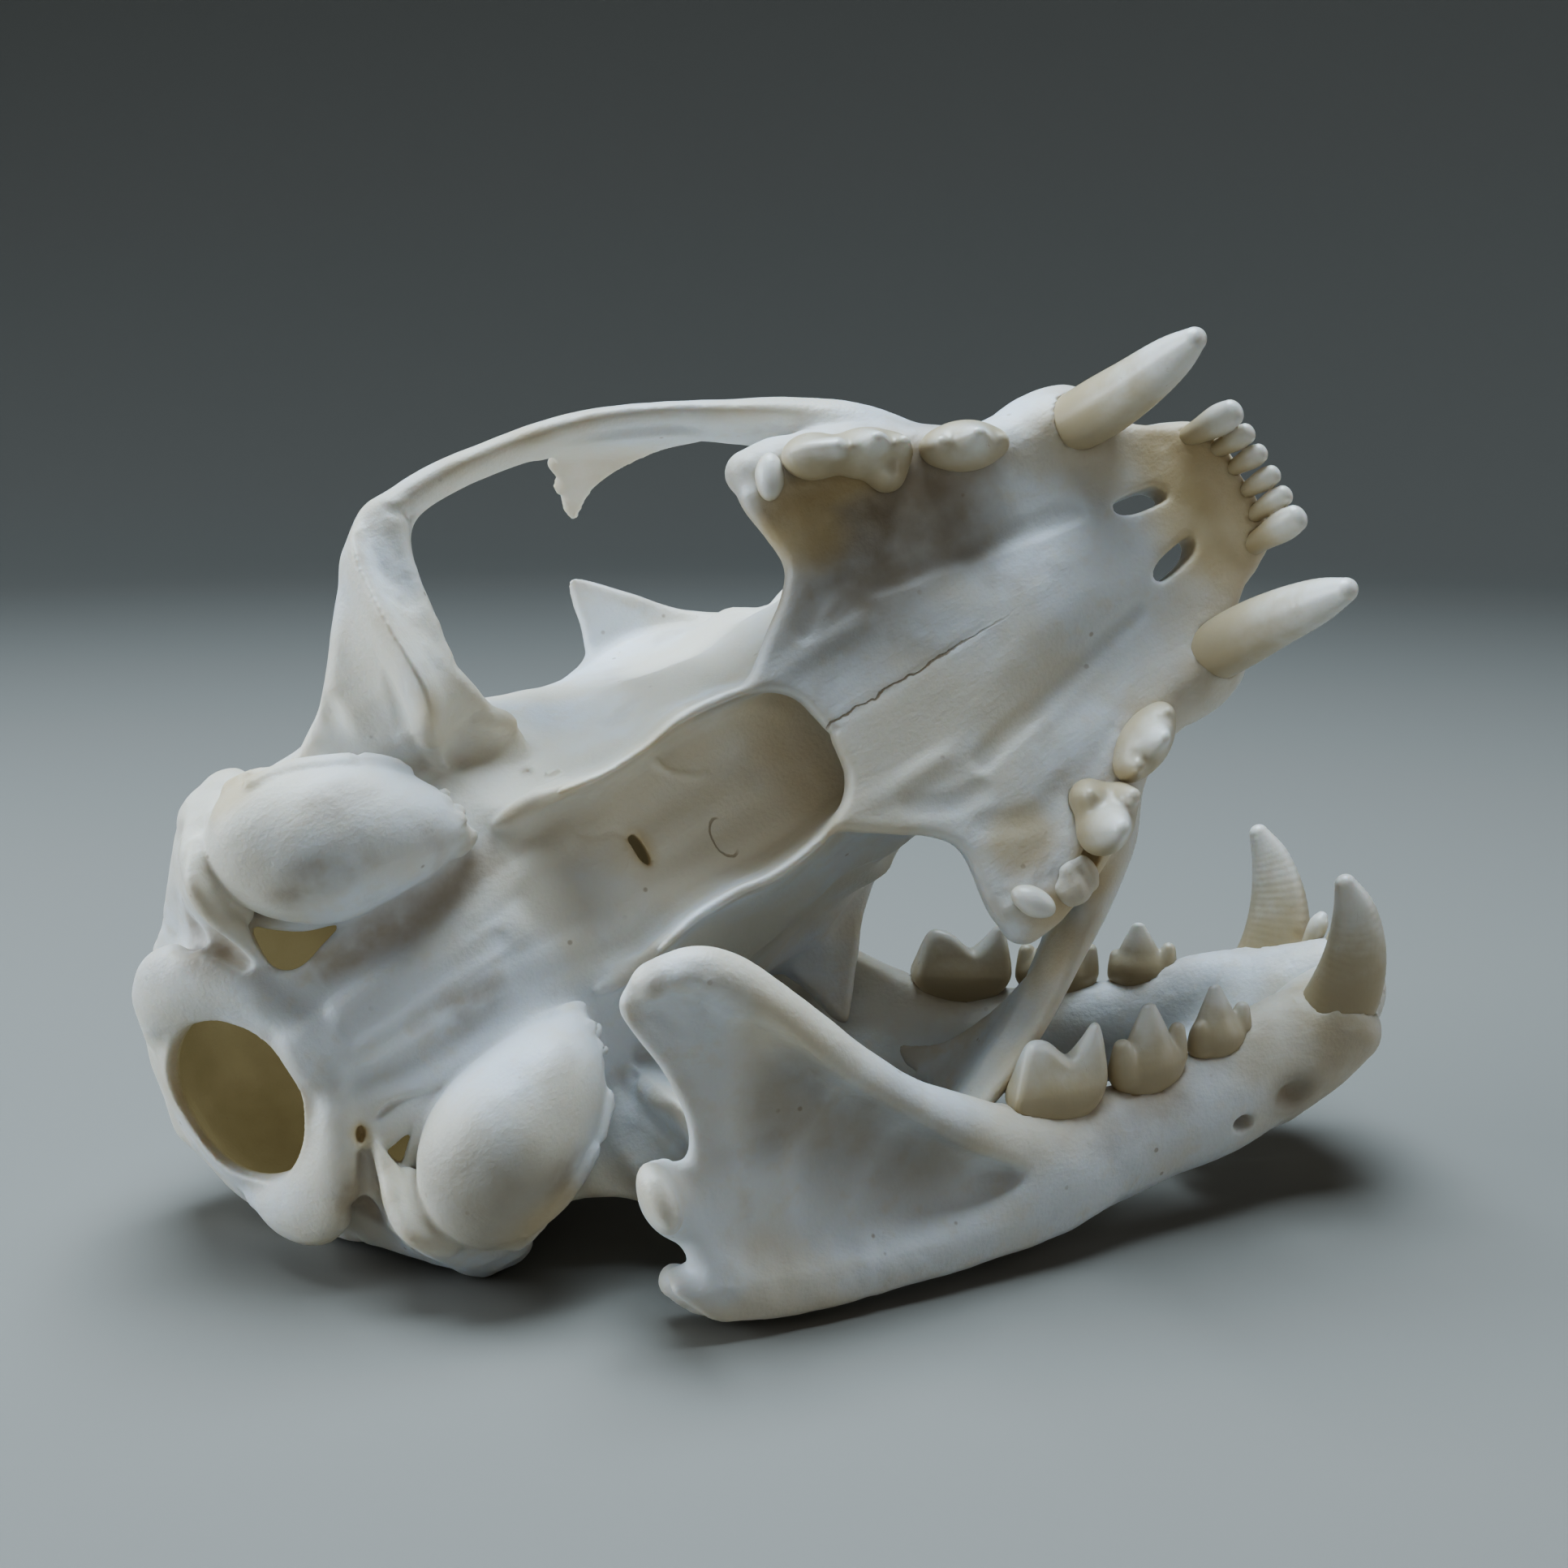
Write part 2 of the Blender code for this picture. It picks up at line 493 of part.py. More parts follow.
def pierce(bone: Clay) -> None:
    """Cut the holes for nerves and vessels, and the ear opening."""
    incisive = ((42.0, 2.2), (41.6, 3.9), (39.2, 4.6), (36.8, 4.6), (36.6, 3.4), (38.6, 2.4))
    bone.cut(Slab(incisive, lambda x, y: 3 + 0 * x, lambda x, y: 6 + 0 * x, 2, 0.1, (-4, 10)), 0.6)
    jugular = (
        (-50.0, 9.2), (-52.4, 8.3), (-55.2, 7.7), (-57.2, 8.9), (-57.5, 11.4), (-57.0, 13.4), (-55.4, 12.2),
        (-53.0, 10.4),
    )
    bone.cut(Slab(jugular, lambda x, y: 4 + 0 * x, lambda x, y: 7 + 0 * x, 2, 0.1, (-4, 12)), 0.5)
    bone.cut(Strap(((31, 20.6, 13.5, 2.6, 3.2), (25, 21.5, 13.5, 2.2, 3.0), (16, 21.5, 14, 2.6, 3.2),
                    (8, 21, 16, 4, 4)), Y), 1)
    for centre, radii in (
        ((-31.2, 17.0, 6), (2.8, 2.1, 7)), ((-36.1, 19.1, 2), (0.6, 0.7, 4)),
        ((-33.8, 18.2, 5), (0.8, 1.1, 4)), ((-59.4, 9.4, 6.4), (0.9, 0.45, 2.6)),
        ((-21.4, 0, 9), (1.9, 0.6, 2.5)), ((-26.6, 12.4, 8), (0.7, 0.5, 2)),
    ):
        bone.cut(Ball(centre, radii), 0.5)
    bone.cut(Strap(((-41, 27.5, 8, 2.2, 2.2), (-41, 19.5, 6.5, 2.0, 2.0)), X), 0.8)


def upper_incisors() -> list[Step]:
    return [
        (peg((47.4, 6.3, 1.0), (49.8, 6.2, -5.9), 1.45, 1.3), 0.4),
        (peg((48.4, 3.75, 0.6), (50.2, 3.5, -5.0), 1.05, 1.0), 0.4),
        (peg((48.8, 1.3, 0.6), (50.4, 1.2, -5.0), 0.95, 0.9), 0.4),
    ]


def cranium_clay(voxel: float) -> Clay:
    bone = Clay((-80, 0, -14), (54, 47, 53), voxel)
    bone.add(brain_case())
    case = bone.depth.copy()
    add_face(bone)
    add_palate(bone)
    add_cheek(bone)
    add_temple(bone)
    add_ear(bone)
    add_nape(bone)
    hollow_out(bone, case)
    pierce(bone)
    for form, blend in upper_incisors():
        bone.add(form, blend)
    for tooth in UPPER_TEETH.values():
        for form, _ in tooth():
            bone.cut(form, 0.0, SOCKET_GAP)
    bone.mirrored()
    return bone


# ---------------------------------------------------------------- lower jaw, its left half
def add_ramus(bone: Clay) -> None:
    """Add the rear plate with the coronoid process, and the rims round the chewing muscle's hollow."""
    outline = (
        (6.8, 6.4), (8.2, 4.6), (13, 2.2), (29, 2.0), (47, 3.8), (52, 8), (38, 17.6), (30.5, 20.9),
        (25.4, 24.8), (20.5, 29.6), (16.4, 33.3), (12.7, 36.2), (9, 37.1), (5.4, 36), (3.3, 33.9),
        (2.7, 32), (4.0, 29.6), (6.5, 26), (8.6, 21.3), (9.0, 16.7), (9.4, 10.6), (9.6, 7.6),
    )
    bone.add(Slab(outline, lambda x, z: plate(x, z) + swell(x, z) / 2,
                  lambda x, z: 1.1 + 0.5 * np.clip((x - 30) / 15, 0, 1) + swell(x, z) / 2,
                  1, 0.9, (8, 44)))
    bone.add(Strap(((5.6, 35.0, 34.8, 1.1, 1.2), (9.2, 35.1, 35.4, 1.6, 1.6), (13.2, 34.2, 33.8, 1.9, 1.9),
                    (19.5, 31.8, 28.2, 2.2, 2.2), (25, 29.5, 23.0, 2.4, 2.4), (31, 27.4, 18.6, 2.6, 2.3),
                    (38, 24.8, 14.3, 3, 2.4), (45, 21.2, 10, 4, 2.8))), 2.5)
    bone.add(Strap(((8.8, 33.2, 10.8, 1.2, 1.2), (10.2, 33.2, 8.0, 1.3, 1.3), (13, 32.6, 5.4, 1.6, 1.6),
                    (18, 31.2, 4.0, 1.9, 1.9), (24, 29.4, 4.2, 2.1, 2.1), (31, 27.2, 4.8, 2.4, 2.4),
                    (38, 24.2, 6.2, 3.3, 2.8), (46, 20.8, 8.1, 4.9, 3.3))), 2.0)


def plate(x: Array, z: Array) -> Array:
    """How far from the midline the middle of the rear plate stands."""
    middle = profile([0, 10, 20, 30, 40, 48, 57, 65, 72],
                     [32.6, 32.2, 29.6, 26.2, 22.2, 19.2, 15.9, 12.8, 9.8])
    return middle(x) + 1.6 * np.clip((z - 18) / 20, 0, 1) ** 2


def swell(x: Array, z: Array) -> Array:
    """How much thicker the rear plate is towards its lower rim, which tilts the hollow's floor upward."""
    return 2.2 * np.clip((16 - z) / 10, 0, 1) ** 2 + 0 * x


def add_jaw_body(bone: Clay) -> None:
    """Add the bar that carries the teeth and the chin, and press in the chewing muscle's hollow."""
    bone.add(Strap(((34, 25.2, 9.4, 6.0, 1.4), (40, 22.6, 9.2, 6.4, 2.4), (46, 20.0, 9.0, 6.4, 3.4),
                    (52, 17.6, 9.7, 6.2, 3.9), (60, 14.6, 11.0, 5.8, 4.0), (67, 11.8, 12.3, 6.2, 4.0),
                    (73, 9.2, 14.8, 6.6, 4.3), (79, 6.8, 17.2, 5.4, 4.6), (83.5, 5.0, 19.6, 3.6, 3.6))), 3)
    bone.add(Strap(((69, 3.2, 10.5, 2.6, 3.4), (75, 3.2, 13.0, 4.0, 3.6), (81, 3.0, 17.6, 4.4, 3.4),
                    (85.4, 2.8, 21.0, 3.0, 3.0))), 3)
    hollow = (
        (11.4, 11), (12.4, 20), (12.6, 27.5), (14.6, 30.6), (18.0, 28.2), (24, 22.8), (30, 18.4), (36, 14.2),
        (41.6, 11.0), (38, 8.4), (31, 7.0), (24, 6.4), (17, 6.6), (12.8, 8.2),
    )
    outer = 46.0

    def floor(x: Array, z: Array) -> Array:
        """How far from the midline the hollow's floor stands."""
        return plate(x, z) + swell(x, z) + 0.7

    bone.cut(Slab(hollow, lambda x, z: (floor(x, z) + outer) / 2, lambda x, z: (outer - floor(x, z)) / 2,
                  1, 3.0, (14, outer + 1)), 1.6)
    bone.cut(Ball((68.2, 15.4, 10.6), (1.4, 2.6, 0.9)), 0.6)
    bone.cut(Ball((74.8, 13.8, 12.2), (2.0, 2.0, 1.4)), 0.9)
    bone.cut(Ball((14.0, 29.4, 12.6), (2.0, 1.6, 1.2), (0, -20)), 0.8)


def add_jaw_joint(bone: Clay) -> None:
    """Add the condyle on its neck, and the angular process below it."""
    bone.add(Strap(((7.4, 26.6, 13.2, 1.9, 1.4), (6.8, 29.6, 13.4, 2.6, 1.8), (6.1, 34, 14.6, 3.2, 1.9),
                    (5.6, 37.4, 15.8, 3.3, 1.7), (5.6, 39.4, 16.4, 2.6, 1.2)), (-0.34, 0.0, 0.94)), 1.6)
    bone.add(Strap(((7.5, 32.5, 13.4, 3.0, 2.2), (12, 32, 13.6, 3.2, 1.4), (17, 30.6, 14, 3.0, 1.0))), 2.5)
    bone.add(Strap(((7.6, 30.0, 4.6, 1.6, 1.5), (10.4, 30.4, 3.6, 2.2, 2.0), (16, 30.4, 3.2, 2.2, 2.0))), 1.5)


def lower_incisors() -> list[Step]:
    return [
        (peg((83.0, 5.4, 21.0), (84.7, 5.4, 26.2), 1.4, 0.9), 0.4),
        (peg((84.5, 3.3, 21.4), (86.1, 3.3, 25.8), 1.0, 0.7), 0.4),
        (peg((85.1, 1.4, 21.4), (86.7, 1.35, 25.4), 0.9, 0.62), 0.4),
    ]


def jaw_clay(voxel: float) -> Clay:
    bone = Clay((-1, -2, -3), (91, 46, 41), voxel)
    add_ramus(bone)
    add_jaw_body(bone)
    add_jaw_joint(bone)
    for form, blend in lower_incisors():
        bone.add(form, blend)
    for tooth in LOWER_TEETH.values():
        for form, _ in tooth():
            bone.cut(form, 0.0, SOCKET_GAP)
    bone.keep_above(1, MIDLINE_GAP)
    return bone


# ---------------------------------------------------------------- teeth of the left side
def peg(base: Sequence[float], tip: Sequence[float], wide: float, narrow: float, across: Sequence[float] = X,
        flat: float = 1.0) -> Strap:
    """A cusp or a root that narrows a little faster near its tip. `flat` is its thickness over its width."""
    middle = [(b + t) / 2 for b, t in zip(base, tip)]
    half = wide + (narrow - wide) * 0.46
    rows = ((*base, wide, wide * flat), (*middle, half, half * flat), (*tip, narrow, narrow * flat))
    return Strap(rows, across)


def upper_canine() -> list[Step]:
    """The long fang."""
    return [(Strap(((34.5, 14.0, 8.5, 2.2, 2.0), (36.9, 13.8, 3.5, 3.2, 2.8), (39.3, 13.4, -2.2, 3.5, 3.1),
                    (41.6, 13.3, -7.5, 3.0, 2.7), (43.7, 13.5, -12.8, 2.2, 2.0),
                    (45.1, 13.7, -17.4, 0.9, 0.9)),
                   X), 0)]


def upper_p3() -> list[Step]:
    """The third premolar, with one cusp and a small one on each side."""
    return [
        (Ball((26.0, 17.2, -1.3), (4.5, 2.4, 2.5), (-25, 0)), 0),
        (peg((26.0, 17.2, -1.5), (26.2, 17.3, -6.0), 2.9, 0.8, (1, -0.5, 0), 0.75), 1.0),
        (peg((23.5, 18.4, -1.2), (23.3, 18.5, -3.6), 1.4, 0.7), 0.8),
        (peg((29.0, 15.8, -1.0), (29.1, 15.8, -2.8), 1.2, 0.6), 0.6),
        (Strap(((26.0, 17.2, 2.2, 3.2, 1.6), (26.0, 17.2, -1, 3.6, 2.0)), (1, -0.5, 0)), 0.8),
    ]


def upper_p4() -> list[Step]:
    """The whole carnassial."""
    return [*upper_p4_front(),
            (Ball((12.3, 23.8, -1.6), (3.3, 2.3, 2.4), (-28, 0)), 1.0),
            (Strap(((13.8, 23.0, -4.2, 2.4, 1.1), (11.8, 24.1, -3.6, 2.0, 1.1), (10.6, 24.7, -3.0, 1.5, 1.0)),
                   Z), 1.0),
            (Strap(((11.9, 24.0, 2.2, 1.8, 1.5), (11.9, 24.0, -1, 2.0, 1.8)), (1, -0.5, 0)), 0.8)]


def upper_p4_front() -> list[Step]:
    """The front half of the carnassial, which is all that is left of the left one."""
    return [
        (Ball((17.0, 21.4, -1.4), (4.3, 2.4, 2.6), (-28, 0)), 0),
        (peg((16.8, 21.6, -2.0), (16.8, 21.8, -7.4), 3.0, 0.8, (1, -0.5, 0), 0.7), 1.2),
        (peg((19.5, 20.2, -1.5), (19.7, 20.3, -4.8), 1.6, 0.7), 1.0),
        (peg((17.9, 18.9, -0.8), (17.6, 18.6, -3.0), 2.0, 0.9), 1.2),
        (Strap(((17.8, 20.9, 2.2, 2.3, 1.6), (17.8, 20.9, -1, 2.6, 2.0)), (1, -0.5, 0)), 0.8),
    ]


def upper_p4_stub() -> list[Step]:
    """What is left in the socket behind the broken carnassial."""
    return [(Ball((12.4, 23.8, -0.3), (2.8, 1.9, 1.0), (-28, 0)), 0.6),
            (Strap(((11.9, 24.0, 2.2, 1.8, 1.5), (11.9, 24.0, 0.8, 1.9, 1.6)), (1, -0.5, 0)), 0.6)]


def upper_m1() -> list[Step]:
    """The small molar behind the carnassial."""
    return [(Ball((6.7, 25.0, -1.3), (1.5, 2.1, 1.5), (20, 0)), 0),
            (Strap(((6.7, 25.0, 1.8, 1.0, 1.3), (6.7, 25.0, -1, 1.2, 1.6)), X), 0.6)]


def lower_canine() -> list[Step]:
    """The lower fang, which curves back."""
    return [(Strap(((74.6, 9.0, 13.8, 2.4, 2.0), (78.2, 9.0, 16.8, 3.8, 3.0), (81.0, 9.3, 21.4, 4.0, 3.1),
                    (81.8, 10.3, 26.5, 3.3, 2.7), (81.1, 11.2, 31.3, 2.1, 1.8), (79.5, 11.8, 35.0, 0.8, 0.8)),
                   X), 0)]


def lower_p3() -> list[Step]:
    """The third premolar."""
    return [
        (Ball((66.4, 12.3, 19.0), (3.4, 1.9, 2.3), (-22, 8)), 0),
        (peg((65.8, 12.4, 19.0), (65.5, 12.3, 24.0), 2.2, 0.7, (1, -0.4, 0), 0.8), 0.8),
        (peg((68.9, 11.4, 20.0), (69.1, 11.4, 21.4), 1.1, 0.6), 0.5),
        (peg((64.2, 13.1, 18.6), (64.0, 13.2, 20.2), 1.1, 0.6), 0.5),
        (Strap(((65.6, 12.6, 15.2, 1.8, 1.4), (65.8, 12.5, 19, 2.3, 1.7)), X), 0.8),
    ]


def lower_p4() -> list[Step]:
    """The fourth premolar."""
    return [
        (Ball((57.5, 15.9, 17.6), (4.5, 2.1, 2.8), (-20, 4)), 0),
        (peg((57.4, 16.0, 18.2), (57.3, 16.1, 23.6), 2.8, 0.7, (1, -0.35, 0), 0.75), 1.0),
        (peg((54.7, 17.1, 17.8), (54.5, 17.2, 20.2), 1.3, 0.7), 0.6),
        (peg((60.7, 14.8, 18.4), (60.9, 14.7, 20.6), 1.2, 0.6), 0.6),
        (Strap(((57.2, 16.0, 13.4, 3.4, 1.5), (57.4, 16.0, 17.5, 4.0, 2.0)), (1, -0.35, 0)), 0.8),
    ]


def lower_m1() -> list[Step]:
    """The carnassial, with its two blades and the notch between them."""
    blades = (
        (41.7, 16.4), (42.3, 19.4), (43.2, 21.9), (44.2, 22.6), (45.8, 22.2), (47.5, 20.7), (48.3, 20.4),
        (49.4, 21.5), (50.7, 23.2), (51.6, 23.0), (52.1, 20.6), (52.1, 17.4), (50, 15.2), (44, 15.0),
    )
    return [
        (Ball((46.9, 19.7, 16.6), (5.3, 2.3, 2.7), (-18, 2)), 0),
        (Slab(blades, lambda x, z: 19.6 - 0.33 * (x - 47.2), lambda x, z: 0.95 + 0.26 * np.clip(22.5 - z,
                                                                                                0, 5),
              1, 0.9, (14, 25)), 1.0),
        (Strap(((47.0, 19.7, 12.4, 3.4, 1.5), (47.2, 19.6, 16.5, 4.4, 2.1)), (1, -0.33, 0)), 0.8),
    ]


UPPER_TEETH = {"canine": upper_canine, "P3": upper_p3, "P4": upper_p4, "M1": upper_m1}
LOWER_TEETH = {"canine": lower_canine, "p3": lower_p3, "p4": lower_p4, "m1": lower_m1}


def tooth_clay(steps: Sequence[Step], voxel: float) -> Clay:
    low, high = (np.array(corners) for corners in zip(*(form.box() for form, _ in steps)))
    tooth = Clay(low.min(0) - 1.2, high.max(0) + 1.2, voxel)
    for form, blend in steps:
        tooth.add(form, blend)
    return tooth


# ---------------------------------------------------------------- objects
def material(name: str, colour: Sequence[float], roughness: float) -> bpy.types.Material:
    made = bpy.data.materials.new(name)
    made.use_nodes = True
    shader = made.node_tree.nodes["Principled BSDF"]
    shader.inputs["Base Color"].default_value = (*colour, 1.0)
    shader.inputs["Roughness"].default_value = roughness
    shader.inputs["Metallic"].default_value = 0.0
    return made


def pose(name: str, turn: Sequence[float], place: Sequence[float],
         collection: bpy.types.Collection) -> bpy.types.Object:
    """The empty that holds a bone's frame in the whole model."""
    empty = bpy.data.objects.new(name, None)
    empty.rotation_euler = Euler([math.radians(a) for a in turn], "XYZ")
    empty.location = (Vector(place) + Vector(GROUND_SHIFT)) * MM
    collection.objects.link(empty)
    return empty


@dataclass
class Workshop:
    """What turns clay into objects: where they go and the size they are drawn at."""

    collection: bpy.types.Collection

    def solid(self, name: str, clay: Clay, faces: int, parent: bpy.types.Object, look: bpy.types.Material,
              scale: float, right: bool = False) -> bpy.types.Object:
        """One closed mesh of about `faces` triangles, mirrored for the right side."""
        points, quads = clay.surface()
        if right:
            points, quads = points * (1, -1, 1), quads[:, ::-1]
        mesh = bpy.data.meshes.new(name)
        mesh.from_pydata((points * scale * MM).tolist(), [], quads.tolist())
        mesh.materials.append(look)
        mesh.shade_smooth()
        made = bpy.data.objects.new(name, mesh)
        made.parent = parent
        self.collection.objects.link(made)
        thin = made.modifiers.new("fewer faces", "DECIMATE")
        thin.ratio = min(1.0, faces / (2 * len(quads)))
        return made


def main() -> None:
    for leftover in list(bpy.data.objects):
        bpy.data.objects.remove(leftover)
    collection = bpy.data.collections.new("lynx_skull")
    bpy.context.scene.collection.children.link(collection)
    workshop = Workshop(collection)
    bone, ivory = material("bone", (0.78, 0.76, 0.70), 0.5), material("tooth", (0.74, 0.66, 0.48), 0.35)
    head = pose("cranium_pose", CRANIUM_TURN, CRANIUM_PLACE, collection)
    jaw = pose("mandible_pose", JAW_TURN, JAW_PLACE, collection)
    scale = SKULL_LENGTH / DRAWN_LENGTH
    workshop.solid("cranium", cranium_clay(BONE_VOXEL), FACES["cranium"], head, bone, scale)
    half = jaw_clay(BONE_VOXEL)
    for side, right in (("left", False), ("right", True)):
        workshop.solid(f"mandible_{side}", half, FACES["jaw"], jaw, bone, 1.0, right)
        for name, tooth in UPPER_TEETH.items():
            steps = [*upper_p4_front(), *upper_p4_stub()] if (name, side) == ("P4", "left") else tooth()
            clay = tooth_clay(steps, TOOTH_VOXEL)
            workshop.solid(f"upper_{name}_{side}", clay, FACES[name], head, ivory, scale, right)
        for name, tooth in LOWER_TEETH.items():
            clay = tooth_clay(tooth(), TOOTH_VOXEL)
            workshop.solid(f"lower_{name}_{side}", clay, FACES[name], jaw, ivory, 1.0, right)


if __name__ == "__main__":
    main()
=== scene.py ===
"""Looks of a life-size lynx skull, whose cranium leans base outward against its lower jaw.

Bones and teeth are modelled like clay, in fields of signed distance in mm that are negative inside the
bone. Rounded forms are added and cut with fillets, and each field is turned into one closed mesh that stands
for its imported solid. Each bone is drawn in its own frame: x points to the nose, y to the animal's left and z
to the crown of the head. The origin of the cranium is the middle of the palate's rear edge, and that of the
jaw is on the ground below its condyles.
"""

from __future__ import annotations

import logging
import math
from dataclasses import dataclass
from enum import Enum
from typing import Callable, Sequence

import bpy
import numpy as np
import openvdb
from mathutils import Euler, Matrix, Vector

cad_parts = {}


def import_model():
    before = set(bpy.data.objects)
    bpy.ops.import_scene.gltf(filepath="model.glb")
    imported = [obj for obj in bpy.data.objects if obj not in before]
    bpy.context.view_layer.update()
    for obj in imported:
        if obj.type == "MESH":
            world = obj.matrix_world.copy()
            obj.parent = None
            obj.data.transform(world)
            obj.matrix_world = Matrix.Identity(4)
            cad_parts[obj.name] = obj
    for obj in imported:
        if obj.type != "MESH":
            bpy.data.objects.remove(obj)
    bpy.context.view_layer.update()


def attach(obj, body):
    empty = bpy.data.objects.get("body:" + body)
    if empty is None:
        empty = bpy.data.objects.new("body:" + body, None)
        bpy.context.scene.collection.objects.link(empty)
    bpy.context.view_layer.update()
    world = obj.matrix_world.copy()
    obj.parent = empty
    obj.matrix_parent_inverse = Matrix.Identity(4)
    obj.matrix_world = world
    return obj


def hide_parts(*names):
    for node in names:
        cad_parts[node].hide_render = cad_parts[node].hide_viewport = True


LOG = logging.getLogger("lynx_skull")
Array = np.ndarray
Point = Sequence[float]
Rows = Sequence[Sequence[float]]
Line = Callable[[Array], Array]
Surface = Callable[[Array, Array], Array] | float
Spots = Sequence[Sequence]  # balls: centre, radii and, unless all share one, how far each fades out

MM = 0.001
FAR = 9.0  # mm, the distance that stands for "nothing near"
LINK_REACH = 3.0  # mm, how far round a link of a swept form its distances are worked out
MARGIN = 1.5  # mm, how far round a form the clay is touched, besides the reach of the fillet
FILLET_REACH = 1.25  # how far a fillet reaches, over its width
TRAIT_SPACING = 0.8  # mm, of the coarse grid on which hollows and thin places are found
PIT_REACH, THIN_REACH = 1.3, 2.4  # mm, how far round a point the two are looked for
TOOTH_MARGIN = 1.2  # mm, of empty clay round a tooth
SCAR_REACH = 3.0  # mm, how far a rough patch fades out
X, Y, Z = (1.0, 0.0, 0.0), (0.0, 1.0, 0.0), (0.0, 0.0, 1.0)


class Side(Enum):
    """The animal's two sides; the value is the sign of y there."""

    LEFT = 1
    RIGHT = -1

    @property
    def word(self) -> str:
        """The side's name in lower case."""
        return self.name.lower()


class Slot(Enum):
    """The record's material slots."""

    BONE = "bone"
    TOOTH = "tooth"


# ---------------------------------------------------------------- fields
def smooth_min(a: Array, b: Array, blend: float) -> Array:
    """Join two fields with a fillet.

    Args:
        a: The first field.
        b: The second field.
        blend: About how wide the fillet is, in mm.

    Returns:
        The joined field.
    """
    if blend <= 0:
        return np.minimum(a, b)
    near = np.maximum(blend - np.abs(a - b), 0) / blend
    return np.minimum(a, b) - near * near * blend / 4


def smooth_max(a: Array, b: Array, blend: float) -> Array:
    """Keep what two fields share, with a round about `blend` mm wide."""
    return -smooth_min(-a, -b, blend)


def smooth_step(low: float, high: float, value: Array) -> Array:
    """A smooth rise from 0 at `low` to 1 at `high`."""
    t = np.clip((value - low) / (high - low), 0, 1)
    return t * t * (3 - 2 * t)


def spline(rows: Rows, per_span: int, closed: bool = False) -> Array:
    """Points on a smooth curve through the rows.

    Args:
        rows: The points that the curve passes, each of any number of columns.
        per_span: How many points each span between two rows gives.
        closed: Whether the curve comes back to its start.

    Returns:
        The curve's points, one a row.
    """
    p = np.array(rows, float)
    if closed:
        p = np.concatenate([p[-1:], p, p[:2]])
    else:
        p = np.concatenate([2 * p[:1] - p[1:2], p, 2 * p[-1:] - p[-2:-1]])
    t = np.linspace(0, 1, per_span, endpoint=False)[:, None]
    spans = [
        b + 0.5 * t * (c - a + t * (2 * a - 5 * b + 4 * c - d + t * (3 * (b - c) + d - a)))
        for a, b, c, d in zip(p[:-3], p[1:-2], p[2:-1], p[3:])
    ]
    return np.concatenate(spans if closed else [*spans, p[-2:-1]])


def profile(xs: Sequence[float], ys: Sequence[float]) -> Line:
    """A smooth function through points, which doesn't overshoot them.

    Args:
        xs: Where the points are, rising.
        ys: Their values.

    Returns:
        The function, which holds its end values outside the points.
    """
    x, y = np.array(xs, float), np.array(ys, float)
    width, rise = np.diff(x), np.diff(y) / np.diff(x)
    slope = np.concatenate([rise[:1], np.zeros(len(x) - 2), rise[-1:]])
    same = rise[:-1] * rise[1:] > 0
    slope[1:-1][same] = 2 * rise[:-1][same] * rise[1:][same] / (rise[:-1][same] + rise[1:][same])

    def value(at: Array) -> Array:
        """The function's value at each place.

        Args:
            at: Where it is read.

        Returns:
            The values there.
        """
        at = np.clip(at, x[0], x[-1])
        i = np.clip(np.searchsorted(x, at) - 1, 0, len(width) - 1)
        t = (at - x[i]) / width[i]
        low = y[i] * (1 + 2 * t) + slope[i] * width[i] * t
        high = y[i + 1] * (3 - 2 * t) + slope[i + 1] * width[i] * (t - 1)
        return low * (1 - t) ** 2 + high * t * t

    return value


def ellipse_distance(offsets: Sequence[Array], radii: Sequence[Array | float]) -> Array:
    """About how far a point is outside an ellipsoid.

    Args:
        offsets: The point's offsets from the middle, along each axis.
        radii: The ellipsoid's radius along each axis.

    Returns:
        The distances, negative inside.
    """
    inner = np.sqrt(sum((o / r) ** 2 for o, r in zip(offsets, radii)))
    steep = np.sqrt(sum((o / r**2) ** 2 for o, r in zip(offsets, radii)))
    return inner * (inner - 1) / np.maximum(steep, 1e-6)


def outline_distance(loop: Array, u: Array, v: Array) -> Array:
    """Signed distances from a closed outline.

    Args:
        loop: The outline's points.
        u: The first coordinate of each place.
        v: The second coordinate of each place.

    Returns:
        The distances, negative inside.
    """
    best, inside = np.full(u.shape, 1e9), np.zeros(u.shape, bool)
    for (au, av), (bu, bv) in zip(loop, np.roll(loop, -1, 0)):
        du, dv = bu - au, bv - av
        t = np.clip(((u - au) * du + (v - av) * dv) / max(du * du + dv * dv, 1e-12), 0, 1)
        best = np.minimum(best, (u - au - t * du) ** 2 + (v - av - t * dv) ** 2)
        if abs(dv) > 1e-12:
            inside ^= ((av > v) != (bv > v)) & (u < au + (v - av) / dv * du)
    return np.where(inside, -np.sqrt(best), np.sqrt(best))


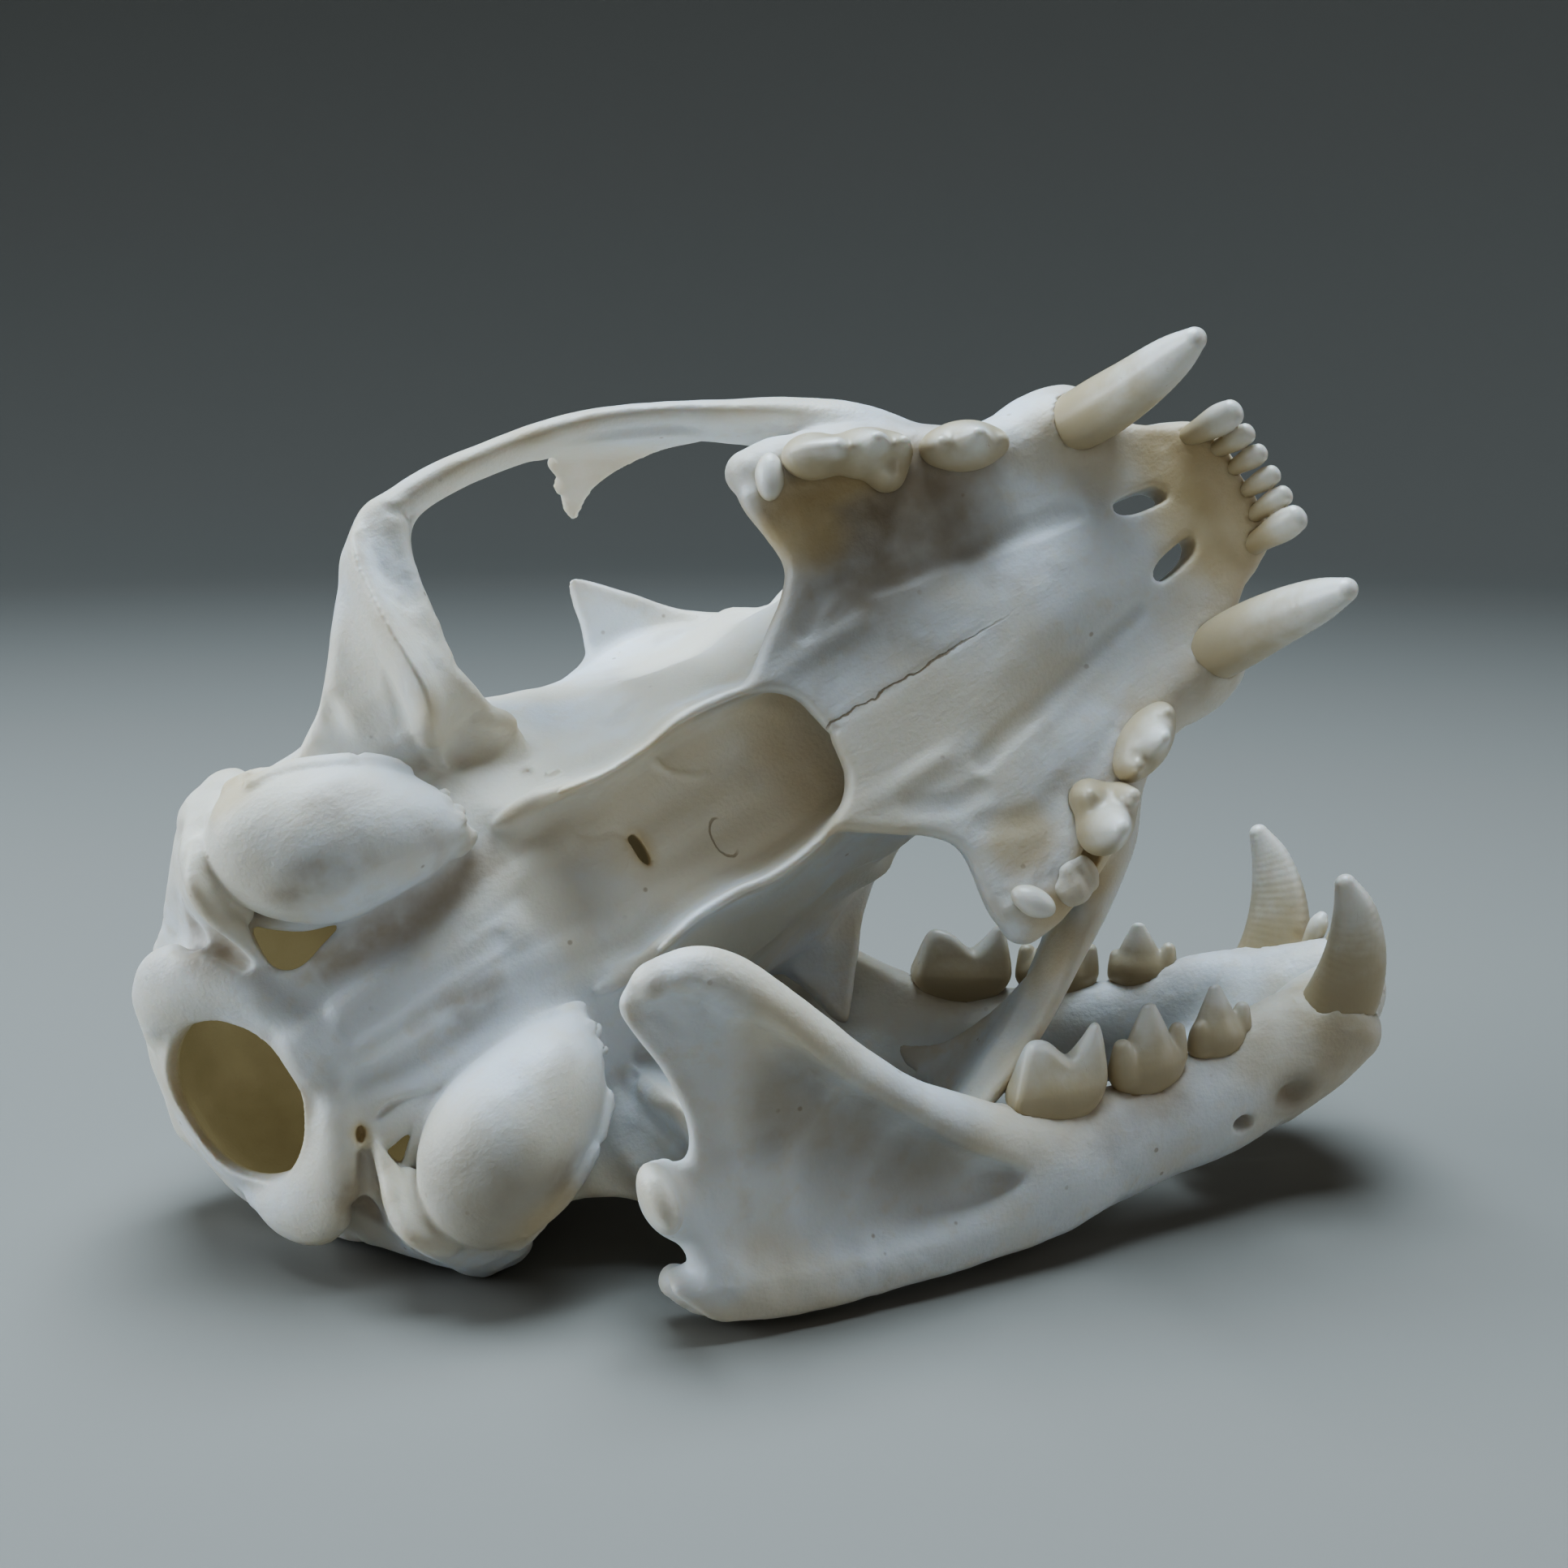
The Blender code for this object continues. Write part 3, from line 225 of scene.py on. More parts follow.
# ---------------------------------------------------------------- forms
@dataclass
class Ball:
    """An ellipsoid. `turn` is its yaw about z and its pitch about y, in degrees."""

    centre: Point
    radii: Point
    turn: tuple[float, float] = (0.0, 0.0)

    def box(self) -> tuple[Array, Array]:
        """The lowest and highest corner of what the form fills."""
        reach = max(self.radii) if any(self.turn) else np.array(self.radii)
        return np.array(self.centre) - reach, np.array(self.centre) + reach

    def distance(self, x: Array, y: Array, z: Array) -> Array:
        """The signed distance at each place of a sparse grid.

        Args:
            x: The grid's places along x, in mm.
            y: Those along y.
            z: Those along z.

        Returns:
            The distances, negative inside.
        """
        x, y, z = x - self.centre[0], y - self.centre[1], z - self.centre[2]
        yaw, pitch = np.radians(self.turn)
        x, y = np.cos(yaw) * x + np.sin(yaw) * y, np.cos(yaw) * y - np.sin(yaw) * x
        x, z = np.cos(pitch) * x - np.sin(pitch) * z, np.cos(pitch) * z + np.sin(pitch) * x
        return ellipse_distance((x, y, z), self.radii)


@dataclass
class Strap:
    """A form swept along a smooth path.

    A row is x, y, z, the half width along `across` and the half thickness.
    """

    rows: Rows
    across: Point = Z
    per_span: int = 6

    def stations(self) -> Array:
        """The rows of the smooth path."""
        return spline(self.rows, self.per_span)

    def box(self) -> tuple[Array, Array]:
        """The lowest and highest corner of what the form fills.

        Returns:
            The two corners, in mm.
        """
        s = self.stations()
        reach = s[:, 3:5].max(1)[:, None]
        return (s[:, :3] - reach).min(0), (s[:, :3] + reach).max(0)

    def distance(self, x: Array, y: Array, z: Array) -> Array:
        """The signed distance at each place of a sparse grid.

        Args:
            x: The grid's places along x, in mm.
            y: Those along y.
            z: Those along z.

        Returns:
            The distances, negative inside.
        """
        stations = self.stations()
        flat = [g.ravel() for g in (x, y, z)]
        out = np.full([g.size for g in flat], FAR, np.float32)
        for a, b in zip(stations[:-1], stations[1:]):
            reach = max(a[3], a[4], b[3], b[4]) + LINK_REACH
            low, high = np.minimum(a[:3], b[:3]) - reach, np.maximum(a[:3], b[:3]) + reach
            near = tuple(
                slice(np.searchsorted(g, lo), np.searchsorted(g, hi)) for g, lo, hi in zip(flat, low, high)
            )
            if any(n.start >= n.stop for n in near):
                continue
            offset = np.meshgrid(*(g[n] - o for g, n, o in zip(flat, near, a)), indexing="ij", sparse=True)
            out[near] = np.minimum(out[near], self.link(a, b, [o.astype(np.float32) for o in offset]))
        return out

    def link(self, a: Array, b: Array, offset: Sequence[Array]) -> Array:
        """The distance from one straight link of the path, whose size changes evenly along it.

        Args:
            a: The row at the link's start.
            b: The row at its end.
            offset: The grid's offsets from the start.

        Returns:
            The distances, negative inside.
        """
        way = b[:3] - a[:3]
        length = np.linalg.norm(way)
        way /= length
        wide = np.array(self.across, float)
        wide -= wide @ way * way
        wide /= np.linalg.norm(wide)
        thick = np.cross(way, wide)
        along, u, v = (sum(o * np.float32(d) for o, d in zip(offset, axis)) for axis in (way, wide, thick))
        t = np.clip(along / np.float32(length), 0, 1)
        w, h = np.float32(a[3]) + np.float32(b[3] - a[3]) * t, np.float32(a[4]) + np.float32(b[4] - a[4]) * t
        return ellipse_distance((u, v, along - t * np.float32(length)), (w, h, np.minimum(w, h)))


@dataclass
class Slab:
    """A plate: a smooth outline across the axis `normal`, a middle surface and a half thickness."""

    outline: Rows
    middle: Surface
    half: Surface
    normal: int = 1
    edge: float = 1.0
    reach: tuple[float, float] = (-20.0, 60.0)

    def loop(self) -> Array:
        """The smooth outline's points."""
        return spline(self.outline, 5, True)

    def plane(self) -> list[int]:
        """The two axes that the plate lies along."""
        return [i for i in range(3) if i != self.normal]

    def box(self) -> tuple[Array, Array]:
        """The lowest and highest corner of what the form fills.

        Returns:
            The two corners, in mm.
        """
        low, high = np.zeros(3), np.zeros(3)
        low[self.plane()], high[self.plane()] = self.loop().min(0), self.loop().max(0)
        low[self.normal], high[self.normal] = self.reach
        return low, high

    def distance(self, x: Array, y: Array, z: Array) -> Array:
        """The signed distance at each place of a sparse grid.

        Args:
            x: The grid's places along x, in mm.
            y: Those along y.
            z: Those along z.

        Returns:
            The distances, negative inside.
        """
        grid = (x, y, z)
        u, v = np.meshgrid(*(grid[k].ravel() for k in self.plane()), indexing="ij")
        side = outline_distance(self.loop(), u, v)
        middle, half = (
            np.broadcast_to(f(u, v) if callable(f) else f, u.shape) for f in (self.middle, self.half)
        )
        side, middle, half = (np.expand_dims(q, self.normal).astype(np.float32) for q in (side, middle, half))
        face = np.abs(grid[self.normal].astype(np.float32) - middle) - half
        r = np.minimum(self.edge, half)
        corner = np.hypot(np.maximum(side + r, 0), np.maximum(face + r, 0)) - r
        return np.where((side + r > 0) & (face + r > 0), corner, np.maximum(side, face))


@dataclass
class Loft:
    """A rounded body along x. A row is x, half width, bottom, widest level, top, lower and upper fullness."""

    rows: Rows
    ends: float = 1.0

    def box(self) -> tuple[Array, Array]:
        """The lowest and highest corner of what the form fills.

        Returns:
            The two corners, in mm.
        """
        r = np.array(self.rows, float)
        low = np.array([r[0, 0], -r[:, 1].max(), r[:, 2].min()])
        return low, np.array([r[-1, 0], r[:, 1].max(), r[:, 4].max()])

    def distance(self, x: Array, y: Array, z: Array) -> Array:
        """The signed distance at each place of a sparse grid.

        Args:
            x: The grid's places along x, in mm.
            y: Those along y.
            z: Those along z.

        Returns:
            The distances, negative inside.
        """
        r = np.array(self.rows, float)
        w, low, mid, top, full_low, full_top = (
            profile(r[:, 0], r[:, c])(x).astype(np.float32) for c in range(1, 7)
        )
        y, z = y.astype(np.float32), z.astype(np.float32)
        height = np.where(z >= mid, top - mid, mid - low)
        full = np.where(z >= mid, full_top, full_low)
        f = (np.abs(y / w) ** full + np.abs((z - mid) / height) ** full) ** (1 / full) - 1
        slopes = np.gradient(f, *(float(np.diff(g.ravel()[:2])[0]) for g in (x, y, z)))
        side = f / np.maximum(np.sqrt(sum(s * s for s in slopes)), 0.02)
        return smooth_max(side, np.maximum(r[0, 0] - x, x - r[-1, 0]).astype(np.float32), self.ends)


Form = Ball | Strap | Slab | Loft
Step = tuple[Form, float]


def peg(base: Point, tip: Point, wide: float, narrow: float, across: Point = X, flat: float = 1) -> Strap:
    """A cusp or a root that narrows a little faster near its tip.

    Args:
        base: The middle of its wide end.
        tip: The middle of its narrow end.
        wide: Half its width at the base.
        narrow: Half its width at the tip.
        across: The direction of the width.
        flat: Its thickness over its width.

    Returns:
        The form.
    """
    middle = [(b + t) / 2 for b, t in zip(base, tip)]
    places = ((base, wide), (middle, wide + (narrow - wide) * 0.46), (tip, narrow))
    return Strap([(*place, half, half * flat) for place, half in places], across)


def knobs(teeth: Sequence[Sequence], root: float, belly: float, sizes: Rows) -> list[Step]:
    """Small front teeth, each swept from its root through its neck and belly to its tip.

    Args:
        teeth: Each tooth's neck, its tip and half its width.
        root: How deep the root goes, over the crown's height.
        belly: How far up the crown is widest, over its height.
        sizes: The half width and half thickness at the four places, over half the tooth's width.

    Returns:
        Each tooth's form, with its fillet.
    """
    steps: list[Step] = []
    for neck, tip, wide in teeth:
        deep = [n + root * (n - t) for n, t in zip(neck, tip)]
        full = [n + belly * (t - n) for n, t in zip(neck, tip)]
        rows = [(*place, wide * w, wide * h) for place, (w, h) in zip((deep, neck, full, tip), sizes)]
        steps.append((Strap(rows, Y), 0.1))
    return steps


# ---------------------------------------------------------------- clay
@dataclass
class Skin:
    """A closed surface in mm, and what its material reads at each point."""

    points: Array
    quads: Array
    traits: dict[str, Array]

    def on(self, side: Side) -> Skin:
        """The surface, drawn as the left one, on either side of the skull.

        Args:
            side: The side that it is for.

        Returns:
            The surface, mirrored for the right side.
        """
        if side is Side.LEFT:
            return self
        return Skin(self.points * (1, -1, 1), self.quads[:, ::-1], self.traits)


class Clay:
    """A block of signed distances, to which forms are added and from which others are cut."""

    def __init__(self, low: Point, high: Point, voxel: float) -> None:
        """Start an empty block.

        Args:
            low: Its lowest corner, in mm.
            high: Its highest corner, in mm.
            voxel: The spacing of its distances, in mm.
        """
        self.voxel = voxel
        self.axes = [lo + voxel * np.arange(math.ceil((hi - lo) / voxel) + 1) for lo, hi in zip(low, high)]
        self.depth = np.full([len(a) for a in self.axes], FAR, np.float32)
        self.marks: dict[str, Array] = {}

    def place(self, form: Form, pad: float) -> tuple[tuple[slice, ...], Array]:
        """The part of the block that a form reaches, and the form's distances there.

        Args:
            form: The form.
            pad: How far round the form the part reaches, in mm.

        Returns:
            The part's slices of the block, and the distances.
        """
        near = []
        for axis, low, high in zip(self.axes, *form.box()):
            first, last = (int((end - axis[0]) / self.voxel) for end in (low - pad, high + pad))
            near.append(slice(max(first, 0), max(last + 2, 2)))
        grid = np.meshgrid(*(a[n] for a, n in zip(self.axes, near)), indexing="ij", sparse=True)
        return tuple(near), np.asarray(form.distance(*grid), np.float32)

    def add(self, form: Form, blend: float = 0.0) -> None:
        """Join a form on, with a fillet of `blend` mm."""
        near, d = self.place(form, blend * FILLET_REACH + MARGIN)
        self.depth[near] = smooth_min(self.depth[near], d, blend)

    def cut(self, form: Form, blend: float = 0.0, grow: float = 0.0) -> None:
        """Cut a form out, made larger by `grow` mm, with edges rounded by `blend` mm."""
        near, d = self.place(form, blend * FILLET_REACH + MARGIN + grow)
        self.depth[near] = smooth_max(self.depth[near], grow - d, blend)

    def groove(self, form: Form, depth: float, reach: float) -> None:
        """Press a form's path into the surface.

        Args:
            form: The form, which lies near the surface.
            depth: How deep the groove is, in mm, or how high a ridge where it is negative.
            reach: Half the groove's width beside the form, in mm.
        """
        near, d = self.place(form, reach)
        press = np.clip(1 - np.maximum(d, 0) / reach, 0, 1)
        self.depth[near] += depth * press * press * (3 - 2 * press)

    def keep_above(self, axis: int, level: float) -> None:
        """Cut off, with a plane, all that lies below a level of one axis."""
        plane = np.expand_dims(level - self.axes[axis], [i for i in range(3) if i != axis])
        self.depth = np.maximum(self.depth, plane.astype(np.float32))

    def roughen(self, seed: int, size: float, height: float, where: str = "") -> None:
        """Raise and lower the surface by smooth noise.

        Args:
            seed: Which noise it is.
            size: The spacing of its bumps, in mm.
            height: About how high they are, in mm.
            where: The mark that it is kept to, or nothing for the whole clay.
        """
        share = self.marks[where] if where else 1.0
        self.depth += height * share * lattice_noise(self.axes, seed, size)

    def mark(self, name: str, form: Form, reach: float) -> None:
        """Note how near each place is to a form, for the material.

        Args:
            name: The trait's name.
            form: The form.
            reach: How far from the form the trait fades out, in mm.
        """
        field = self.marks.setdefault(name, np.zeros(self.depth.shape, np.float32))
        near, d = self.place(form, reach)
        field[near] = np.maximum(field[near], 1 - smooth_step(0.0, reach, d))

    def mark_spots(self, name: str, spots: Spots, reach: float = 0.0) -> None:
        """Mark several balls.

        Args:
            name: The trait's name.
            spots: The balls.
            reach: How far each fades out, in mm, where it doesn't say so itself.
        """
        for centre, radii, *own in spots:
            self.mark(name, Ball(centre, radii), own[0] if own else reach)

    def seat(self, teeth: Sequence[Sequence[Step]], gum_reach: float) -> None:
        """Cut the sockets of teeth, and mark the bone round them.

        Args:
            teeth: The forms of each tooth.
            gum_reach: How far from a tooth the mark fades out, in mm.
        """
        for form, _ in (step for steps in teeth for step in steps):
            self.cut(form, 0.0, SOCKET_GROWTH)
            self.mark("gum", form, gum_reach)

    def mirrored(self) -> None:
        """Complete a half that starts at y = 0."""
        for name, field in self.marks.items():
            self.marks[name] = np.concatenate([field[:, :0:-1], field], 1)
        self.depth = np.concatenate([self.depth[:, :0:-1], self.depth], 1)
        self.axes[1] = np.concatenate([-self.axes[1][:0:-1], self.axes[1]])

    def skin(self) -> Skin:
        """The clay's surface, with its traits for the material.

        Returns:
            The surface. Its traits run from 0 to 1: `pit` in small hollows, `thin` where the bone is thin,
            and the clay's own marks.
        """
        grid = openvdb.FloatGrid(FAR)
        grid.copyFromArray(np.ascontiguousarray(self.depth, np.float32))
        cells, quads = grid.convertToQuads(isovalue=0.0)
        points = cells * self.voxel + [a[0] for a in self.axes]
        a, b, c, d = (points[quads[:, i]] for i in range(4))
        volume = np.einsum("ij,ij->", a, np.cross(b, c)) + np.einsum("ij,ij->", a, np.cross(c, d))
        quads = quads if volume > 0 else quads[:, ::-1]
        return Skin(points, quads, self.traits(points))

    def traits(self, points: Array) -> dict[str, Array]:
        """How pitted, thin and marked the clay is at points of its surface.

        Args:
            points: The places, in mm.

        Returns:
            One list of numbers from 0 to 1 for each trait.
        """
        step = max(1, round(TRAIT_SPACING / self.voxel))
        solid = (self.depth[::step, ::step, ::step] < 0).astype(np.float32)
        spacing = step * self.voxel
        offsets = points - [a[0] for a in self.axes]
        near, wide = (
            trilinear(blurred(solid, reach / spacing), offsets / spacing) for reach in (PIT_REACH, THIN_REACH)
        )
        marks = {name: trilinear(field, offsets / self.voxel) for name, field in self.marks.items()}
        return {"pit": smooth_step(0.52, 0.72, near), "thin": 1 - smooth_step(0.22, 0.46, wide), **marks}


def blurred(field: Array, radius: float) -> Array:
    """A field averaged over about `radius` cells each way, by three box blurs along each axis.

    Args:
        field: The numbers to average.
        radius: The reach of the average, in cells.

    Returns:
        The averaged field, of the same shape.
    """
    half = max(1, round(radius / 1.7))
    for axis in range(3):
        for _ in range(3):
            pad = [(half + 1, half) if i == axis else (0, 0) for i in range(3)]
            total = np.cumsum(np.pad(field, pad, mode="edge"), axis, dtype=np.float32)
            span = 2 * half + 1
            upper = np.take(total, range(span, total.shape[axis]), axis)
            lower = np.take(total, range(total.shape[axis] - span), axis)
            field = (upper - lower) / span
    return field


def trilinear(field: Array, at: Array) -> Array:
    """A field's values between its cells.

    Args:
        field: The numbers.
        at: The places, in cells, one a row.

    Returns:
        One number for each place.
    """
    at = np.clip(at, 0, np.array(field.shape) - 1.001)
    cell = at.astype(int)
    t = (at - cell).astype(np.float32)
    out = np.zeros(len(at), np.float32)
    for corner in np.ndindex(2, 2, 2):
        weight = np.prod(np.where(corner, t, 1 - t), 1)
        out += weight * field[tuple((cell + corner).T)]
    return out


def lattice_noise(axes: Sequence[Array], seed: int, size: float) -> Array:
    """Smooth noise over a grid, about from -1 to 1.

    Args:
        axes: The grid's coordinates along each axis, in mm.
        seed: Which noise it is.
        size: The spacing of the random numbers that it passes through, in mm.

    Returns:
        The noise at each place of the grid.
    """
    origin = [a[0] for a in axes]
    counts = [int((a[-1] - o) / size) + 3 for a, o in zip(axes, origin)]
    field = np.random.default_rng(seed).uniform(-1, 1, counts).astype(np.float32)
    for axis, (a, o) in enumerate(zip(axes, origin)):
        at = (a - o) / size
        cell = at.astype(int)
        t = smooth_step(0, 1, at - cell).astype(np.float32)
        t = np.expand_dims(t, [i for i in range(3) if i != axis])
        field = np.take(field, cell, axis) * (1 - t) + np.take(field, cell + 1, axis) * t
    return field


# ---------------------------------------------------------------- places and meshes
@dataclass(frozen=True)
class Pose:
    """Where a bone's own frame lies: its turn in degrees about x, y and z, and its place in mm."""

    turn: tuple[float, float, float]
    place: tuple[float, float, float]

    def matrix(self) -> Matrix:
        """The frame's matrix, in metres.

        Returns:
            The matrix.
        """
        turn = Euler([math.radians(a) for a in self.turn], "XYZ")
        shift = (Vector(self.place) + Vector(GROUND_SHIFT)) * MM
        return Matrix.Translation(shift) @ turn.to_matrix().to_4x4()


GROUND_SHIFT = (0.298, 1.676, -0.356)  # puts the middle of the model's footprint at the origin
HEAD_POSE = Pose((-107.78, -28.11, 19.34), (4.89, -12.79, 52.83))
JAW_POSE = Pose((0.0, -0.11, 9.30), (-22.49, -2.63, -0.05))
HEAD_SCALE = 125.4 / 126.9  # the cranium's real length over the length that it is drawn with
SOCKET_GROWTH = -0.22  # mm; sockets are tighter than their teeth, so that no dark ring shows


@dataclass
class Piece:
    """One visible piece: its name, frame, finish and slot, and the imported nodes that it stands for."""

    name: str
    pose: Pose
    look: bpy.types.Material
    slot: Slot
    scale: float = 1.0
    stands_for: tuple[str, ...] = ()

    def make(self, skin: Skin) -> bpy.types.Object:
        """Turn a surface into an object that rides on the body.

        Args:
            skin: The surface, in the piece's own frame.

        Returns:
            The object.
        """
        mesh = bpy.data.meshes.new(self.name)
        frame = np.array(self.pose.matrix())
        points = skin.points * self.scale * MM @ frame[:3, :3].T + frame[:3, 3]
        points = np.ascontiguousarray(points, np.float32)
        mesh.vertices.add(len(points))
        mesh.vertices.foreach_set("co", points.ravel())
        mesh.loops.add(skin.quads.size)
        mesh.loops.foreach_set("vertex_index", np.ascontiguousarray(skin.quads, np.int32).ravel())
        mesh.polygons.add(len(skin.quads))
        mesh.polygons.foreach_set("loop_start", np.arange(0, skin.quads.size, 4, dtype=np.int32))
        mesh.update(calc_edges=True)
        mesh.shade_smooth()
        for trait, values in skin.traits.items():
            layer = mesh.attributes.new(trait, "FLOAT", "POINT")
            layer.data.foreach_set("value", np.ascontiguousarray(values, np.float32))
        layer = mesh.attributes.new("place", "FLOAT_VECTOR", "POINT")
        layer.data.foreach_set("vector", np.ascontiguousarray(skin.points * MM, np.float32).ravel())
        mesh.materials.append(self.look)
        made = bpy.data.objects.new(self.name, mesh)
        bpy.context.scene.collection.objects.link(made)
        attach(made, "root")
        if self.stands_for:
            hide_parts(*self.stands_for)
        LOG.info("%s: %d faces", self.name, len(skin.quads))
        return made


# ---------------------------------------------------------------- cranium
@dataclass
class Cranium:
    """The cranium, drawn as its left half and mirrored."""

    voxel: float = 0.32
    low: Point = (-80, 0, -14)  # the corners of the clay, of which the left half is drawn
    high: Point = (54, 47, 53)
    bone_wall: float = 2.2  # mm, round the brain
    gum_reach: float = 4.5  # mm, how far the browner bone round a tooth reaches
    grain: Sequence[Sequence] = (  # the surface's unevenness: seed, size, height and where
        (11, 6, 0.16), (12, 2.2, 0.05), (13, 1.1, 0.08, "gum"), (14, 1.5, 0.22, "scar"),
    )
    scars: Spots = (  # the rough patches
        ((-28.4, 30, 4), (1.6, 6, 2)), ((-34, 18.5, 6), (3, 3.5, 3)),
        ((-56.5, 23, 9), (3, 5, 5)), ((-66, 17, 22), (4, 3, 6)),
        ((-51, 26, 12), (5, 2.5, 4)), ((-28.2, 34.6, 4.2), (2, 5, 2.5)),
    )
    # stains, and painted shade: the brown on the palate's right half, in the valley beside the right bulla and
    # along that bulla's lower band stands in for shade
    stains: Spots = (
        ((13, -15, 0), (8, 3.5, 1), 6), ((-43.6, -6.8, 6.5), (7, 0.8, 1), 3),
        ((-50.2, -13.8, -2.4), (4, 0.6, 1), 2.6), ((-43.6, -19, -2.6), (1.6, 0.6, 0.6), 2.4),
        ((-44.3, 22.3, 0.6), (1.2, 2.2, 2), 3), ((-44.5, 3.5, 5.6), (2.6, 1, 0.6), 2.4),
        ((-61.5, 15, 9), (1.5, 3, 4), 2.5), ((-61.5, -15, 9), (1.5, 3, 4), 2.5),
        ((44, -4, 0), (1.5, 4, 2), 3),
    )
    warm_places: Spots = (  # the thin bone that light shows through
        ((-2, 0, 10), (1.5, 5.5, 2), 4.5), ((-51.6, -24.6, 1.6), (2.2, 2, 1.5), 2.6),
        ((-48.5, 23, 2), (2.6, 1.6, 1.6), 3), ((-21.4, 0, 9), (1, 1.8, 1.5), 1.2),
        ((10.2, 18.8, 0), (2.2, 1.8, 1), 3), ((8.4, 30.8, 7), (3.2, 1.6, 2.4), 3),
        ((8, -19, 0.5), (2, 2.5, 1), 4), ((44, 0, -1), (3, 7, 2), 4),
        ((14, -21, 0), (5, 1.5, 1), 2.5), ((13.5, 26.5, 1), (5, 1, 1.5), 2.5),
    )
    painted_shade_places: Spots = (  # where shade is painted in: under the left bulla and on the palate's right half
        ((-51.5, 20, -1.5), (3, 5, 3), 6), ((9, -13.5, 0.5), (11, 5, 1.5), 8),
    )

    def brain_case(self) -> Loft:
        """The outside of the brain case.

        Returns:
            The form.
        """
        return Loft((
            (-74.6, 5, 24, 27, 30.5, 2, 2), (-72.5, 9.6, 18, 25.5, 33, 2, 2), (-68, 14.6, 12, 24, 36.4, 2, 2),
            (-62, 19.2, 7.5, 21, 39.8, 2, 2.1), (-55, 24.4, 5.5, 20, 42.6, 2.2, 2.1),
            (-46, 27, 5, 22, 45.2, 2.4, 2.1), (-37, 26.2, 5.5, 24, 46.8, 2.3, 2.1),
            (-29, 23.8, 6.5, 27, 47.5, 2.2, 2.2), (-22, 21.4, 7.5, 30, 47.7, 1.9, 2.3),
            (-15, 20, 8.5, 34, 47.6, 1.55, 2.4), (-8, 20, 9.5, 36, 47.2, 1.2, 2.4),
            (6, 15.5, 9.5, 34, 44.8, 1.1, 2.4),
        ), 3)

    def muzzle(self) -> Loft:
        """The outside of the muzzle.

        Returns:
            The form.
        """
        return Loft((
            (3, 12.5, 4, 32, 45.4, 1.3, 2.3), (8, 15.5, 1.5, 26, 44.2, 1.8, 2.2),
            (13, 19, 0.3, 16, 41.9, 3, 2), (19, 20, 0, 11, 38.5, 3.5, 1.75), (26, 18.8, 0, 9, 33.5, 4, 1.6),
            (33, 17.6, 0, 7, 29, 4, 1.6), (38.5, 16.4, 0, 6, 26, 4, 1.6), (42, 13.4, 0, 6, 23.5, 3.5, 1.7),
            (44.5, 10.4, -0.2, 6, 21, 3, 1.8), (47.2, 8.7, -1.5, 3.2, 12, 3, 2),
            (49.9, 7, -2.2, 0.6, 4, 2.6, 2),
        ), 2)

    def add_face(self, bone: Clay) -> None:
        """Add the muzzle, the forehead with its pointed processes, and the walls beside the throat.

        Args:
            bone: The clay.
        """
        bone.add(self.muzzle(), 4)
        bone.add(Ball((36, 14.4, 6.5), (6.5, 4.4, 8)), 3)
        core = ((8, 0, 16, 9.5, 8), (-4, 0, 16, 9.5, 8), (-14, 0, 16, 10.5, 8), (-24, 0, 16, 11, 8))
        bone.add(Strap(core, Y), 3)
        wall = (
            (6, -0.2), (-3, 0.6), (-12, 0.6), (-19, 0.4), (-24.5, -0.6), (-26.3, -0.7), (-25.5, 1.5),
            (-28, 4.5), (-32, 8), (-31, 18), (-20, 26), (-6, 31), (6, 30), (11, 20), (10, 8), (9, 1),
        )
        edge, lean = self.wing_edge(), profile([0, 12, 20, 30], [0, 0.8, 1.9, 4.4])
        bone.add(Slab(wall, lambda x, z: edge(x) + lean(z), lambda x, z: 0.5 + 0.012 * np.clip(z, 0, 20) ** 2,
                      1, 0.5, (3, 18)), 3)
        brow = profile([-26, -12, -4, 4, 10, 16], [44.8, 45.2, 44.7, 43.6, 41.4, 37])
        forehead = (
            (16, 0), (16, 9), (10, 13.4), (5.4, 16.6), (0.9, 20.2), (-2.8, 24.3), (-5.8, 28), (-8, 31),
            (-9.2, 30.4), (-9.6, 27), (-10.4, 23.2), (-12.5, 20.2), (-24, 17), (-26, 0), (-10, -3),
        )
        bone.add(Slab(forehead, lambda x, y: brow(x) - 10.0 * (y / 30.5) ** 2,
                      lambda x, y: 2.6 - 1.5 * np.clip((y - 12) / 18, 0, 1), 2, 1, (30, 52)), 4)
        bone.cut(Ball((-4, 28.5, 22), (15, 13.5, 14)), 3)

    def wing_edge(self) -> Line:
        """How far out the lower edges of the thin walls beside the throat passage stand, along x."""
        return profile([-27, -25.5, -20.4, -16.5, -12, -6.9, -3.1, 2],
                       [9.0, 8.7, 8, 8.1, 8.7, 8.2, 7.4, 7.8])

    def add_palate(self, bone: Clay) -> None:
        """Add the plate of the palate, with its notched rear edge, and the ridge that carries the teeth.

        Args:
            bone: The clay.
        """
        palate = (
            (50, 0), (49, 5), (46, 8.4), (42, 11), (38, 14), (30, 15.5), (20, 18.5), (12, 22), (6.5, 24.5),
            (4.2, 23.6), (4.9, 17), (2.9, 13.9), (-0.1, 11.7), (-4.5, 8.2), (-3.2, 6.6), (-1.2, 3.7),
            (-0.3, 0), (10, -3), (40, -3),
        )
        bone.add(Slab(palate, 1.5, 1.5, 2, 1, (-2, 6)), 1.5)
        bone.add(Strap(((30, 15.9, 3, 2.6, 3), (25, 17.8, 2.8, 2.8, 3), (20, 20.5, 2.6, 2.9, 3),
                        (15, 23, 2.6, 2.9, 3), (10, 25.2, 2.8, 2.8, 3), (7, 26, 3.2, 2.4, 3)), Y), 2)
        bone.cut(Ball((25, 8.6, -8.6), (17, 6.8, 9.6), (-6, 0)), 3)

